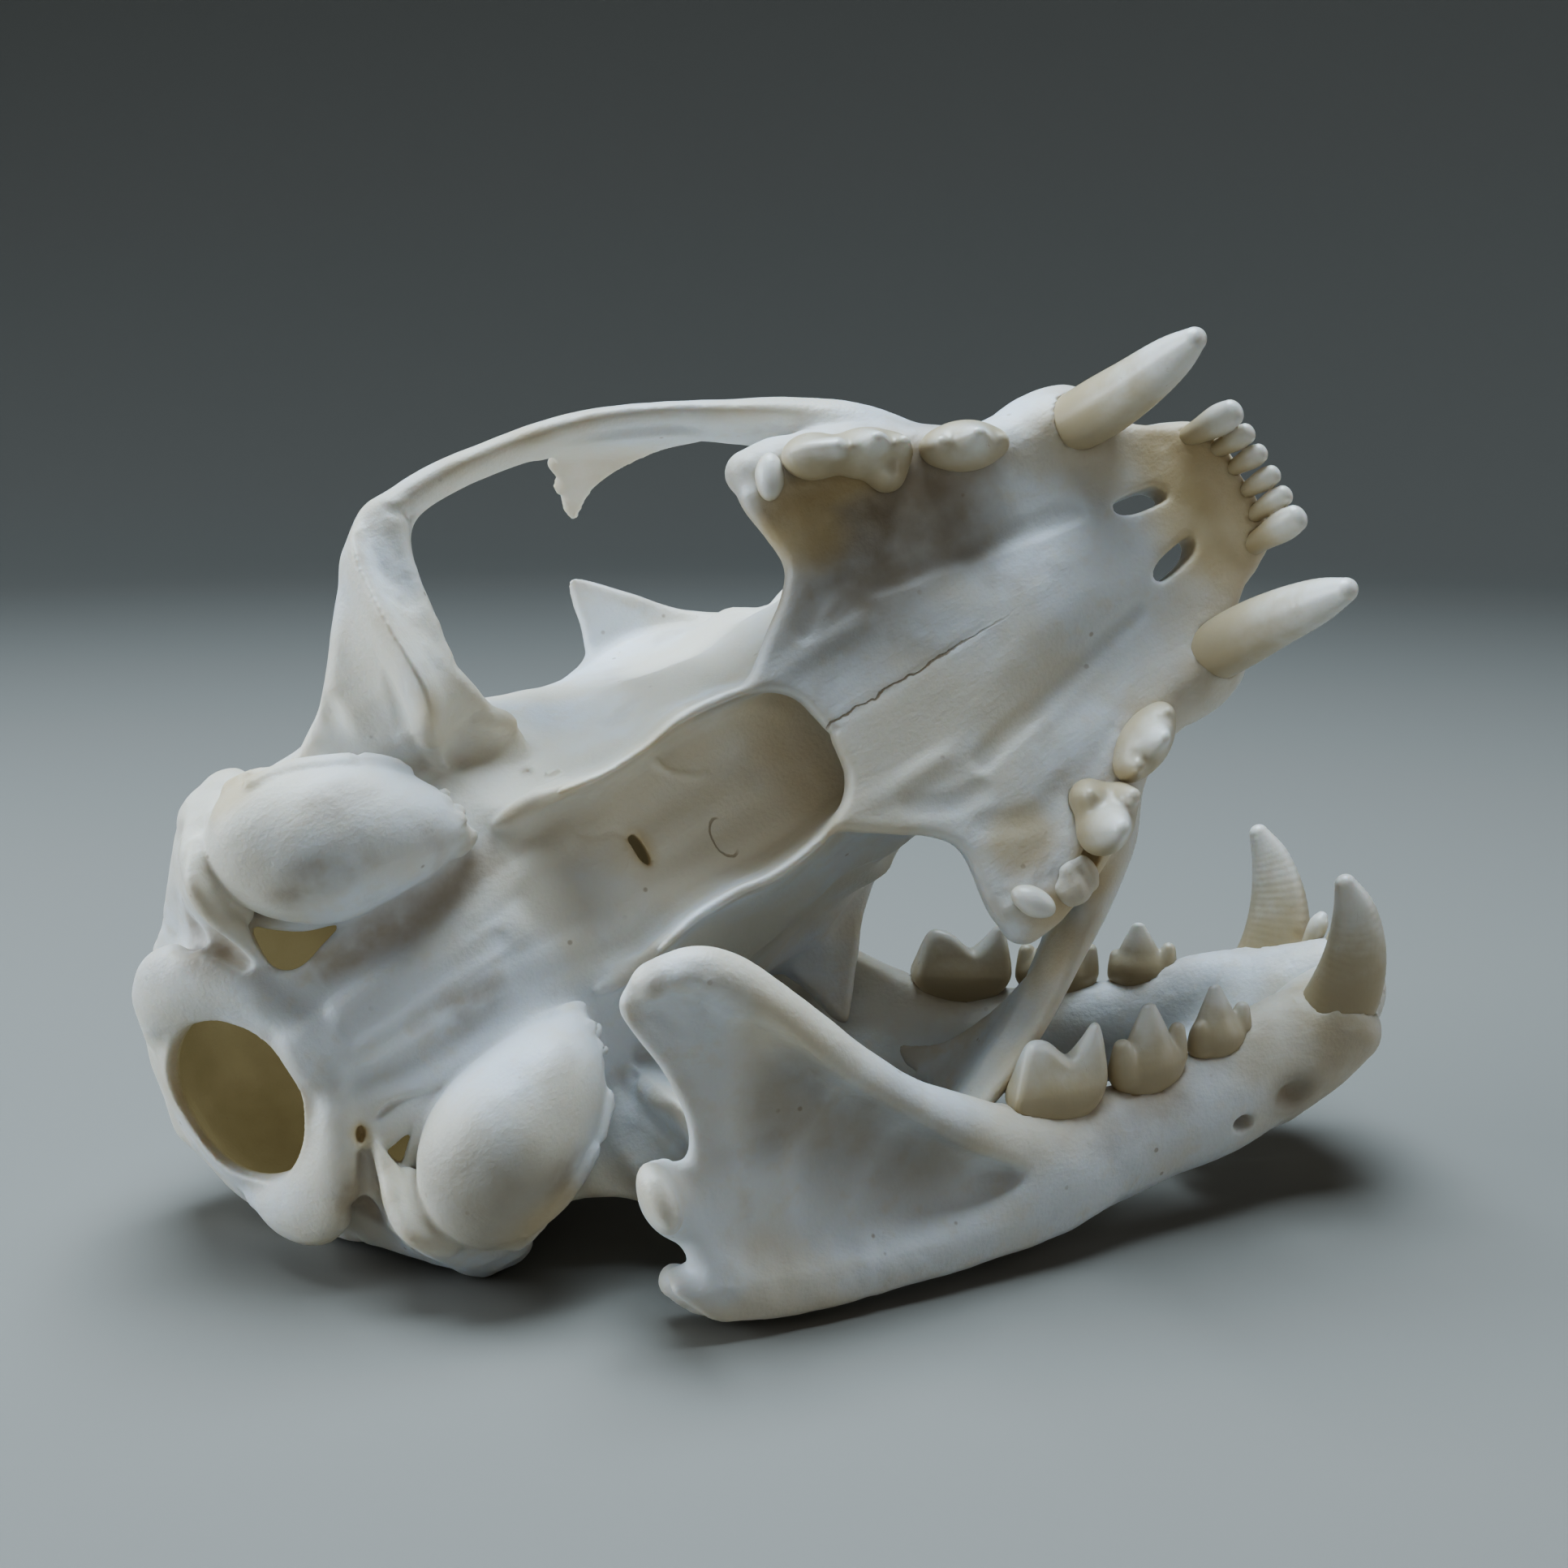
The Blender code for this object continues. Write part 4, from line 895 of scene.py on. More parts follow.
    def add_cheek(self, bone: Clay) -> None:
        """Add the cheek arch from the muzzle to the temple, and the process below the orbit.

        Args:
            bone: The clay.
        """
        bone.add(Strap((
            (25, 18.5, 9, 6, 3), (20.5, 24.2, 9, 6.2, 3), (15, 28.8, 9.2, 6.2, 2.4), (9, 32.6, 9, 5.7, 1.8),
            (3, 36.1, 8.8, 5, 1.5), (-4, 39, 8.6, 4.4, 1.4), (-12, 40.8, 8.7, 4, 1.5),
            (-20, 41.6, 8.8, 3.7, 1.6), (-25.5, 40.6, 8.2, 3.2, 1.9), (-29, 37.6, 7.6, 3, 2.4),
        )), 2.5)
        process = (
            (6.5, 9), (4.7, 12), (1.6, 15), (-1.9, 18), (-4.6, 20.8), (-6.6, 23.4), (-7.3, 22.6),
            (-7.1, 20.6), (-7.9, 19.8), (-7, 18.6), (-7.4, 16.4), (-6.9, 14.5), (-8.4, 11.5), (-8, 8), (4, 7),
        )
        bone.add(Slab(process,
                      lambda x, z: 39.6 - 0.037 * np.maximum(z - 11, 0) ** 2 - 0.5 * np.maximum(x + 7.2, 0),
                      0.7, 1, 0.6, (26, 42)), 1.5)

    def add_temple(self, bone: Clay) -> None:
        """Add the arch's root on the temple, and the groove and lip in which the lower jaw turns.

        Args:
            bone: The clay.
        """
        outline = (
            (-25.5, 15), (-26.6, 21), (-27.3, 25.1), (-26.5, 29.4), (-25.5, 35.3), (-24.6, 38.5), (-24.4, 41),
            (-26.6, 42.2), (-30.5, 39.6), (-35.1, 34.8), (-39.6, 29.3), (-43.8, 26.4), (-47.5, 24.5),
            (-46, 17), (-36, 13),
        )
        under = profile([-48, -43, -38.5, -35.5, -33.4, -31.9, -31, -30.2, -28.8, -27, -24.5],
                        [12, 10, 8.2, 6.4, 3.6, -0.6, -1.8, -0.4, 2.6, 4.3, 4.9])
        bend = profile([20, 24, 30, 36, 41], [-1.6, -0.6, -0.4, 0.2, 1.6])
        over = profile([-46, -40, -33, -27, -24], [17, 15.5, 13, 12, 11.5])
        rise = profile([14, 19, 22, 25, 30, 36, 41], [8.5, 5, 1.4, 0.4, 0.8, 3, 5.2])
        fade = profile([14, 18, 22, 26], [6.5, 4, 1.2, 0])

        def lip(x: Array, y: Array) -> Array:
            """The level of the lower face, with the lip behind the groove, which bends and rises along y."""
            along = x - bend(y)
            return under(along) + rise(y) * np.exp(-((along + 31) / 3.2) ** 2)

        bone.add(Slab(outline, lambda x, y: (lip(x, y) + fade(y) + over(x)) / 2,
                      lambda x, y: np.maximum(over(x) - fade(y) - lip(x, y), 1.6) / 2, 2, 1.2, (-5, 18)), 2.4)

    def add_ear(self, bone: Clay) -> None:
        """Add the inflated bulla of the ear, and the process that hugs its rear.

        Args:
            bone: The clay.
        """
        bone.add(Ball((-47, 16.7, 4.2), (10.1, 7.7, 8), (-22, 0)), 0.8)
        bone.add(Ball((-41, 14, 4.2), (6.2, 4.7, 5.7), (-24, 0)), 3)
        bone.add(Ball((-37.2, 11.7, 4.4), (2.8, 1.8, 2.6), (-35, 0)), 1.6)
        bone.add(Ball((-51.2, 20.3, 5), (4.8, 4.9, 5.8)), 3)
        bone.add(Strap(((-37, 18.6, 3.6, 0.8, 0.8), (-41, 21.8, 2.8, 0.9, 0.9), (-46, 24.2, 2.6, 0.9, 0.9),
                        (-51.5, 25.2, 3.8, 0.9, 0.9))), 0.9)
        behind = profile([9, 13.6, 17, 20.4, 23.6, 26.5], [-58.4, -59.2, -59.3, -58.5, -56.8, -54.2])
        shield = (
            (9.6, 8.4), (12.5, 6.3), (15.5, 4.6), (18.6, 3.3), (21.6, 3.9), (24.4, 6.2), (26.3, 8.8),
            (26, 14), (20, 17), (12, 16),
        )
        bone.add(Slab(shield, lambda y, z: behind(y) - 0.12 * np.maximum(z - 4, 0),
                      lambda y, z: 0.9 + 0.06 * z, 0, 0.8, (-64, -50)), 2)

    def add_nape(self, bone: Clay) -> None:
        """Add the mastoid, the crests of the nape and crown, and the two condyles.

        Args:
            bone: The clay.
        """
        bone.add(Ball((-52.5, 23.8, 12.5), (5.4, 3.6, 6), (-25, 0)), 1.6)
        bone.add(Strap(((-73.8, 0, 31.5, 1.3, 1.6), (-73.2, 5.5, 30.8, 1.2, 1.5), (-71, 11, 28.5, 1.2, 1.5),
                        (-66.8, 15.6, 24, 1.2, 1.5), (-61.6, 19.6, 16.5, 1.3, 1.5), (-56, 24, 12.5, 1.4, 1.5),
                        (-52, 26.2, 11, 1.4, 1.5)), X), 2.5)
        bone.add(Strap(((-73.8, 0, 32.5, 1.3, 1.6), (-65, 0, 39, 1.3, 1.4), (-55, 0, 43.4, 1.3, 1.1),
                        (-44, 0, 45.6, 1.3, 0.8)), Z), 3)
        bone.add(Strap(((-70.8, 9.8, 20.5, 1.2, 1.3), (-69.6, 11.9, 17.2, 2.8, 1.6),
                        (-67.2, 12.8, 13.6, 3.8, 1.9), (-64.2, 12, 10.5, 3.7, 2), (-61.6, 9.7, 8.4, 2.6, 1.8),
                        (-59.6, 6.6, 7.2, 1.6, 1.5), (-57.5, 3, 6.8, 1, 1.2)), (0.2, 1, -0.2)), 1.8)
        bone.add(Strap(((-59.5, 0, 6.6, 2.2, 1.1), (-52, 0, 5.9, 2.4, 1.5), (-44, 0, 5.6, 2.2, 1.3),
                        (-36, 0, 6.2, 1.6, 0.9)), Y), 2.2)
        bone.cut(Strap(((-63.4, 18.6, 2, 2.8, 1.9), (-62.9, 17.2, 7, 2.6, 1.6),
                        (-62.2, 15.6, 10.8, 1.7, 1.1)), Y), 1)
        for y, x in ((5.2, -46), (5, -55)):
            bone.cut(Ball((x, y, 0.2), (8, 3, 5.7)), 2)
        bone.cut(Strap(((-59.4, 11, 5, 3.4, 1), (-60.3, 13.2, 5.2, 4.2, 1.4), (-61.8, 16, 5, 4.8, 1.8),
                        (-62.8, 18.8, 4, 5.2, 2.2)), Z), 0.6)
        bone.add(Strap(((-56.6, 9.4, 7.4, 0.8, 0.8), (-57.4, 11.1, 6.5, 0.9, 0.9), (-58.2, 13.7, 5.4, 1, 1),
                        (-58.9, 16, 4.2, 1.05, 1.05), (-59, 19.2, 3.2, 1.15, 1), (-57, 22.4, 4.4, 0.9, 0.9))),
                 0.7)
        bone.add(Strap(((-58.2, 18.4, 4.4, 1.4, 1.4), (-57.6, 16.8, 5.4, 1.3, 1.3),
                        (-57.2, 15, 6.8, 1.2, 1.2))), 0.8)

    def hollow_out(self, bone: Clay, case: Array) -> None:
        """Cut the brain cavity, the great foramen, and the passage from the nose to the throat.

        Args:
            bone: The clay.
            case: The distances of the brain case alone.
        """
        x = bone.axes[0][:, None, None].astype(np.float32)
        cavity = smooth_max(case + self.bone_wall, x + 24, 4)
        cavity = smooth_max(cavity, -74.5 - x, 2)
        bone.depth = np.maximum(bone.depth, -cavity).astype(np.float32)
        bone.cut(Strap(((-76, 0, 4.2, 8.5, 8.9), (-68, 0, 13, 8.6, 8.9), (-60, 0, 21.8, 8.8, 9.2)), Y), 0.5)
        bone.cut(Strap(((30, 0, 12, 7, 8), (16, 0, 9, 6.5, 6), (6, 0, 6.8, 6, 3.9), (-1, 0, 6.6, 6.4, 3.7),
                        (-6, 0, 6.2, 6.6, 3.6)), Y), 0.8)
        self.cut_throat(bone)
        bone.cut(Strap(((58, 0, 10, 8.4, 9), (46, 0, 12, 8.4, 9), (38, 0, 13.5, 7.8, 9), (26, 0, 14, 7, 9)),
                       Y), 1.5)

    def cut_throat(self, bone: Clay) -> None:
        """Cut the trough of the throat passage behind the palate, which has a low keel in its roof.

        Args:
            bone: The clay.
        """
        edge, wall = self.wing_edge(), 0.55
        rim = [(-0.3, 0), (-0.6, 2.6), (-1.2, 4.6), (-2.4, 6)]
        rim += [(x, float(edge(np.array(x))) - wall) for x in (-4.2, -7, -10, -13, -16.5, -20.4, -25.5)]
        rim += [(-31, 8.6)]
        plan = [*rim, *((x, -y) for x, y in rim[:0:-1])]
        roof = profile([-34, -29, -25, -21, -15, -8, -2, 4], [3.0, 5.6, 7.2, 8.4, 9.4, 10.2, 10.4, 10.3])
        low = -14.0

        def top(x: Array, y: Array) -> Array:
            """The level of the trough's roof."""
            return roof(x) - 0.045 * y * y - 0.9 * np.exp(-((y / 2.2) ** 2))

        bone.cut(Slab(plan, lambda x, y: (top(x, y) + low) / 2, lambda x, y: (top(x, y) - low) / 2, 2, 2.4,
                      (low - 1, 12)), 0.8)

    def pierce(self, bone: Clay) -> None:
        """Cut the holes for nerves and vessels, and the ear opening.

        Args:
            bone: The clay.
        """
        incisive = ((42, 2.2), (41.6, 3.9), (39.2, 4.6), (36.8, 4.6), (36.6, 3.4), (38.6, 2.4))
        bone.cut(Slab(incisive, 3, 6, 2, 0.1, (-4, 10)), 0.6)
        jugular = ((-50, 9.2), (-52.4, 8.3), (-55.2, 7.7), (-57.2, 8.9), (-57.5, 11.4), (-57, 13.4),
                   (-55.4, 12.2), (-53, 10.4))
        bone.cut(Slab(jugular, 4, 7, 2, 0.1, (-4, 12)), 0.5)
        bone.cut(Strap(((31, 20.6, 13.5, 2.6, 3.2), (25, 21.5, 13.5, 2.2, 3), (16, 21.5, 14, 2.6, 3.2),
                        (8, 21, 16, 4, 4)), Y), 1)
        for centre, radii in (
            ((-31.2, 17, 6), (2.6, 2, 4.4)), ((-36.1, 19.1, 2), (0.6, 0.7, 4)),
            ((-33.8, 18.2, 5), (0.8, 1.1, 4)), ((-21.4, 0, 9), (0.65, 1.9, 2.5)),
            ((-26.6, 12.4, 8), (0.7, 0.5, 2)),
        ):
            bone.cut(Ball(centre, radii), 0.5)
        bone.cut(Strap(((-41, 27.5, 8, 2.2, 2.2), (-41, 19.5, 6.5, 2, 2)), X), 0.8)

    def add_relief(self, bone: Clay) -> None:
        """Press in the furrows of vessels and raise the fine ridges of the base, the same on both sides.

        Args:
            bone: The clay.
        """
        for path, depth, reach in (
            (((11.2, 10.2, 0.2), (15, 9.3, 0.6), (20, 8.6, 1), (33, 5.8, 0.8)), 0.45, 1.5),
            (((8, 15.6, 0), (12.6, 17.6, 0), (17, 16.6, 0.2)), 0.25, 1.6),
            (((2.5, 10, 0), (6, 12.2, 0), (9.4, 12.6, 0)), 0.30, 1.4),
            (((-36.4, 9.2, 4.2), (-32.4, 9.6, 5.4), (-28, 9.8, 5.4), (-24.6, 9.6, 5.8)), -0.55, 1.1),
            (((-34.6, 12.6, 5), (-29.6, 12.6, 6.4), (-24, 11.6, 8)), -0.6, 0.9),
            (((-34.4, 14.8, 5.6), (-30.2, 14.6, 7.4), (-25.6, 14, 8.6), (-20, 13, 10.4)), -0.7, 0.9),
            (((-28.2, 18.6, 8.4), (-24.8, 18, 9.8), (-19, 17.8, 13)), -0.5, 1.4),
            (((-34.5, 16.8, 5.6), (-33.6, 19.6, 6.4), (-30, 20.6, 7.4)), -0.6, 1.2),
            (((-36.8, 20.6, 4.8), (-34.6, 22.8, 5.4), (-33.2, 26.4, 3.8)), 0.6, 1.3),
            (((-33, 11, 5.8), (-28.4, 11.2, 6.2), (-24.6, 10.8, 6.8)), 0.5, 0.8),
            (((-32.6, 13.7, 6.6), (-28, 13.6, 7.8), (-23.6, 12.8, 9.2)), 0.5, 0.8),
            (((-40.5, 6, 6.2), (-46.5, 6.4, 6.6), (-53, 6, 6.6)), 0.2, 2),
            (((-54, 2.6, 5), (-46.5, 2.8, 4.8), (-40, 3.3, 5.4), (-32, 4.4, 6.2), (-27, 5, 7)), -0.35, 1.6),
            (((-54, 0, 4.4), (-46.5, 0, 4.4), (-38, 0, 5)), 0.30, 1.2),
            (((-49.8, 24.6, 0.2), (-46.8, 24.3, 1), (-43.8, 23.2, 1), (-41, 21.8, 1.4)), -0.65, 0.9),
            (((-49.6, 25.4, 2.4), (-46.4, 25.3, 2.8), (-43.2, 24.2, 2.8), (-40.6, 22.6, 2.8)), 0.8, 0.9),
            (((-25.8, 42.5, 4), (-25, 40.8, 4.4), (-23.8, 40, 5), (-23.4, 39.4, 7)), 0.4, 0.6),
            (((-23.4, 42, 9), (-16, 42, 8.2), (-8, 40.6, 7.4)), 0.25, 0.7),
        ):
            bone.groove(Strap([(*point, 0.3, 0.3) for point in path]), depth, reach)
        for path in (
            ((-37, 13.9, 1.8, 1.2, 0.4), (-35.6, 13.7, 2.4, 1.1, 0.3), (-34.9, 13.6, 2.9, 0.7, 0.2)),
            ((-36.4, 12.1, 1.8, 1, 0.35), (-35, 11.8, 2.6, 0.8, 0.25), (-34.4, 11.7, 3.2, 0.5, 0.2)),
        ):
            bone.add(Strap(path, Y), 0.25)
        bone.cut(Ball((-40.2, 22.4, 3.2), (1.2, 0.9, 1.3)), 0.3)
        bone.cut(Ball((-7.9, 36.6, 19), (0.8, 1.6, 1)), 0.3)
        bone.cut(Ball((8, 25.5, 24), (9, 11.6, 10)), 2)

    def add_chips(self, bone: Clay) -> None:
        """Add what is on one side only: fine chips, the broken tooth's socket, stains with painted shade among
        them, places of painted shade, and warm places where light through thin bone is painted in.

        Args:
            bone: The clay.
        """
        for path, depth in (
            (((-15.4, -6.6, 8.4), (-14.9, -5.6, 8.4), (-14.2, -4.6, 8.4), (-12.6, -3.3, 8.8),
              (-11.4, -2.9, 9)), -0.25),
            (((-25.6, -4.4, 7), (-24.2, -3.4, 7.2), (-22.6, -2.9, 7.6), (-21.9, -1.4, 8)), 0.16),
            (((-0.4, -0.7, 0), (5.3, -0.6, 0), (11.4, -0.7, 0), (18, -0.9, -0.2)), 0.14),
        ):
            bone.groove(Strap([(*point, 0.12, 0.12) for point in path]), depth, 0.5)
        bone.add(Strap(((-50.6, 8.4, 6.9, 1.2, 1), (-53.5, 9.2, 7.4, 1.7, 1.1),
                        (-57, 9.8, 7.9, 1.8, 1.2)), Y), 0.5)
        bone.add(Ball((14.6, 22.9, 1.8), (6.4, 3.4, 2.4), (-28, 0)), 0.8)
        for form, _ in (*UpperTeeth().p4_broken(), *UpperTeeth().p4_stub()):
            bone.cut(form, 0, SOCKET_GROWTH)
        bone.cut(Ball((15.3, 24, -0.6), (1.5, 1.1, 2.2), (-28, 0)), 0.2)
        bone.cut(Ball((-58.6, 8.9, 6.4), (0.55, 1, 2.6), (32, 0)), 0.4)
        bone.mark("warm", Ball((-58.6, 8.9, 7.4), (0.6, 1, 1.6)), 1)
        bone.mark("warm", Ball((15.3, 24, 0.6), (1.4, 1, 1.5)), 1.6)
        # veil: the throat roof, where a glow is painted for light through its thin bone
        bone.mark("veil", Ball((-12, 0, 9), (12, 7, 3)), 4)
        bone.mark_spots("stain", self.stains)
        bone.mark_spots("warm", self.warm_places)
        bone.mark_spots("grime", self.painted_shade_places)

    def clay(self) -> Clay:
        """The whole cranium without its teeth.

        Returns:
            The clay.
        """
        bone = Clay(self.low, self.high, self.voxel)
        bone.add(self.brain_case())
        case = bone.depth.copy()
        self.add_face(bone)
        self.add_palate(bone)
        self.add_cheek(bone)
        self.add_temple(bone)
        self.add_ear(bone)
        self.add_nape(bone)
        self.hollow_out(bone, case)
        self.pierce(bone)
        self.add_relief(bone)
        bone.seat([*UpperTeeth().all().values(), UpperTeeth().incisors()], self.gum_reach)
        bone.mark_spots("scar", self.scars, SCAR_REACH)
        # cave: the inside of the brain case, where the finish paints olive and a glow for light through its
        # thin walls
        bone.marks["cave"] = 1 - smooth_step(0.3 - self.bone_wall, 0.9 - self.bone_wall, case)
        bone.mirrored()
        self.add_chips(bone)
        for row in self.grain:
            bone.roughen(*row)
        return bone


# ---------------------------------------------------------------- lower jaw, its left half
@dataclass
class LowerJaw:
    """One half of the lower jaw, drawn as the left one."""

    voxel: float = 0.32
    low: Point = (-1, -2, -3)  # the corners of the clay
    high: Point = (91, 46, 41)
    midline_gap: float = 0.15  # mm, on each side, where the two halves meet
    gum_reach: float = 4.0  # mm, how far the browner bone round a tooth reaches
    grain: Sequence[Sequence] = (  # the surface's unevenness: seed, size, height and where
        (21, 6, 0.14), (22, 2.2, 0.05), (23, 1.1, 0.08, "gum"), (24, 1.4, 0.16, "scar"),
    )
    scars: Spots = (  # the rough patches
        ((6.5, 36, 33), (4, 3, 3)), ((12, 32, 5), (5, 3, 3)),
        ((84, 2, 14), (4, 3, 7)), ((24, 31, 5), (8, 2, 2)),
    )
    # where shade is painted in: under the front rim of the chewing muscle's hollow, and at the front foramen
    painted_shade_places: Spots = (
        ((18.5, 31, 21.5), (1.4, 2, 1.6), 6), ((24.5, 29, 17.6), (2, 2, 1.6), 7),
        ((31, 27, 13.8), (2.4, 2, 1.2), 6), ((74.8, 14, 12.6), (1.6, 2, 1.2), 3),
    )

    def add_ramus(self, bone: Clay) -> None:
        """Add the rear plate with the coronoid process, and the rims round the chewing muscle's hollow.

        Args:
            bone: The clay.
        """
        outline = (
            (6.8, 6.4), (8.2, 4.6), (13, 2.2), (29, 2), (47, 3.8), (52, 8), (38, 17.6), (30.5, 20.9),
            (25.4, 24.8), (20.5, 29.6), (16.4, 33.3), (12.7, 36.2), (9, 37.1), (5.4, 36), (3.3, 33.9),
            (2.7, 32), (4, 29.6), (6.5, 26), (8.6, 21.3), (9, 16.7), (9.4, 10.6), (9.6, 7.6),
        )
        bone.add(Slab(outline, lambda x, z: self.plate(x, z) + self.swell(z) / 2,
                      lambda x, z: 1.1 + 0.5 * np.clip((x - 30) / 15, 0, 1) + self.swell(z) / 2,
                      1, 0.9, (8, 44)))
        bone.add(Strap(((5.6, 35, 34.8, 1.1, 1.2), (9.2, 35.1, 35.4, 1.6, 1.6), (13.2, 34.2, 33.8, 1.9, 1.9),
                        (19.5, 31.8, 28.2, 2.2, 2.2), (25, 29.5, 23, 2.4, 2.4), (31, 27.4, 18.6, 2.6, 2.3),
                        (38, 24.8, 14.3, 3, 2.4), (45, 21.2, 10, 4, 2.8))), 2.5)
        bone.add(Strap(((8.8, 33.2, 10.8, 1.2, 1.2), (10.2, 33.2, 8, 1.3, 1.3), (13, 32.6, 5.4, 1.6, 1.6),
                        (18, 31.2, 4, 1.9, 1.9), (24, 29.4, 4.2, 2.1, 2.1), (31, 27.2, 4.8, 2.4, 2.4),
                        (38, 24.2, 6.2, 3.3, 2.8), (46, 20.8, 8.1, 4.9, 3.3))), 2)

    def plate(self, x: Array, z: Array) -> Array:
        """How far from the midline the middle of the rear plate stands.

        Args:
            x: The places along x, in mm.
            z: Those along z.

        Returns:
            The distances, in mm.
        """
        middle = profile([0, 10, 20, 30, 40, 48, 57, 65, 72],
                         [32.6, 32.2, 29.6, 26.2, 22.2, 19.2, 15.9, 12.8, 9.8])
        return middle(x) + 1.6 * np.clip((z - 18) / 20, 0, 1) ** 2

    def swell(self, z: Array) -> Array:
        """How much thicker the rear plate is towards its lower rim, which tilts the hollow's floor upward."""
        return 2.2 * np.clip((16 - z) / 10, 0, 1) ** 2

    def add_body(self, bone: Clay) -> None:
        """Add the bar that carries the teeth and the chin, and press in the chewing muscle's hollow.

        Args:
            bone: The clay.
        """
        bone.add(Strap(((34, 25.2, 9.4, 6, 1.4), (40, 22.6, 9.2, 6.4, 2.4), (46, 20, 9, 6.4, 3.4),
                        (52, 17.6, 9.7, 6.2, 3.9), (60, 14.6, 11, 5.8, 4), (67, 11.8, 12.3, 6.2, 4),
                        (73, 9.2, 14.8, 6.6, 4.3), (79, 6.8, 17.2, 5.4, 4.6), (83.5, 5, 19.6, 3.6, 3.6))), 3)
        bone.add(Strap(((69, 3.2, 10.5, 2.6, 3.4), (75, 3.2, 13, 4, 3.6), (81, 3, 17.6, 4.4, 3.4),
                        (85.4, 2.8, 21, 3, 3))), 3)
        bone.add(Strap(((74, 8, 12, 4, 3.8), (78.2, 8.7, 15.6, 4.8, 3.9),
                        (81.2, 9.3, 18.6, 4.7, 3.7)), X), 1.6)
        hollow = (
            (11.4, 11), (12.4, 20), (12.6, 27.5), (14.6, 30.6), (18, 28.2), (24, 22.8), (30, 18.4),
            (36, 14.2), (41.6, 11), (38, 8.4), (31, 7), (24, 6.4), (17, 6.6), (12.8, 8.2),
        )
        outer = 46.0

        def floor(x: Array, z: Array) -> Array:
            """How far from the midline the hollow's floor stands."""
            return self.plate(x, z) + self.swell(z) + 0.7

        bone.cut(Slab(hollow, lambda x, z: (floor(x, z) + outer) / 2, lambda x, z: (outer - floor(x, z)) / 2,
                      1, 3, (14, outer + 1)), 1.6)
        bone.cut(Ball((68.2, 15.4, 10.6), (1.4, 2.6, 0.9)), 0.6)
        bone.cut(Ball((74.8, 14.4, 12.4), (2.5, 2.8, 1.7)), 0.9)
        bone.cut(Ball((14, 29.4, 12.6), (2, 1.6, 1.2), (0, -20)), 0.8)

    def add_joint(self, bone: Clay) -> None:
        """Add the condyle on its neck, and the angular process below it.

        Args:
            bone: The clay.
        """
        bone.add(Strap(((7.4, 26.6, 13.2, 1.9, 1.4), (6.8, 29.6, 13.4, 2.6, 1.8), (6.1, 34, 14.6, 3.2, 1.9),
                        (5.6, 37.4, 15.8, 3.3, 1.7), (5.6, 39.4, 16.4, 2.6, 1.2)), (-0.34, 0, 0.94)), 1.6)
        bone.add(Strap(((7.5, 32.5, 13.4, 3, 2.2), (12, 32, 13.6, 3.2, 1.4), (17, 30.6, 14, 3, 1))), 2.5)
        bone.add(Strap(((7.6, 30, 4.6, 1.6, 1.5), (10.4, 30.4, 3.6, 2.2, 2), (16, 30.4, 3.2, 2.2, 2))), 1.5)

    def clay(self) -> Clay:
        """The half without its teeth.

        Returns:
            The clay.
        """
        bone = Clay(self.low, self.high, self.voxel)
        self.add_ramus(bone)
        self.add_body(bone)
        self.add_joint(bone)
        bone.seat([*LowerTeeth().all().values(), LowerTeeth().incisors()], self.gum_reach)
        bone.mark_spots("scar", self.scars, SCAR_REACH)
        bone.mark_spots("grime", self.painted_shade_places)
        bone.keep_above(1, self.midline_gap)
        for row in self.grain:
            bone.roughen(*row)
        return bone


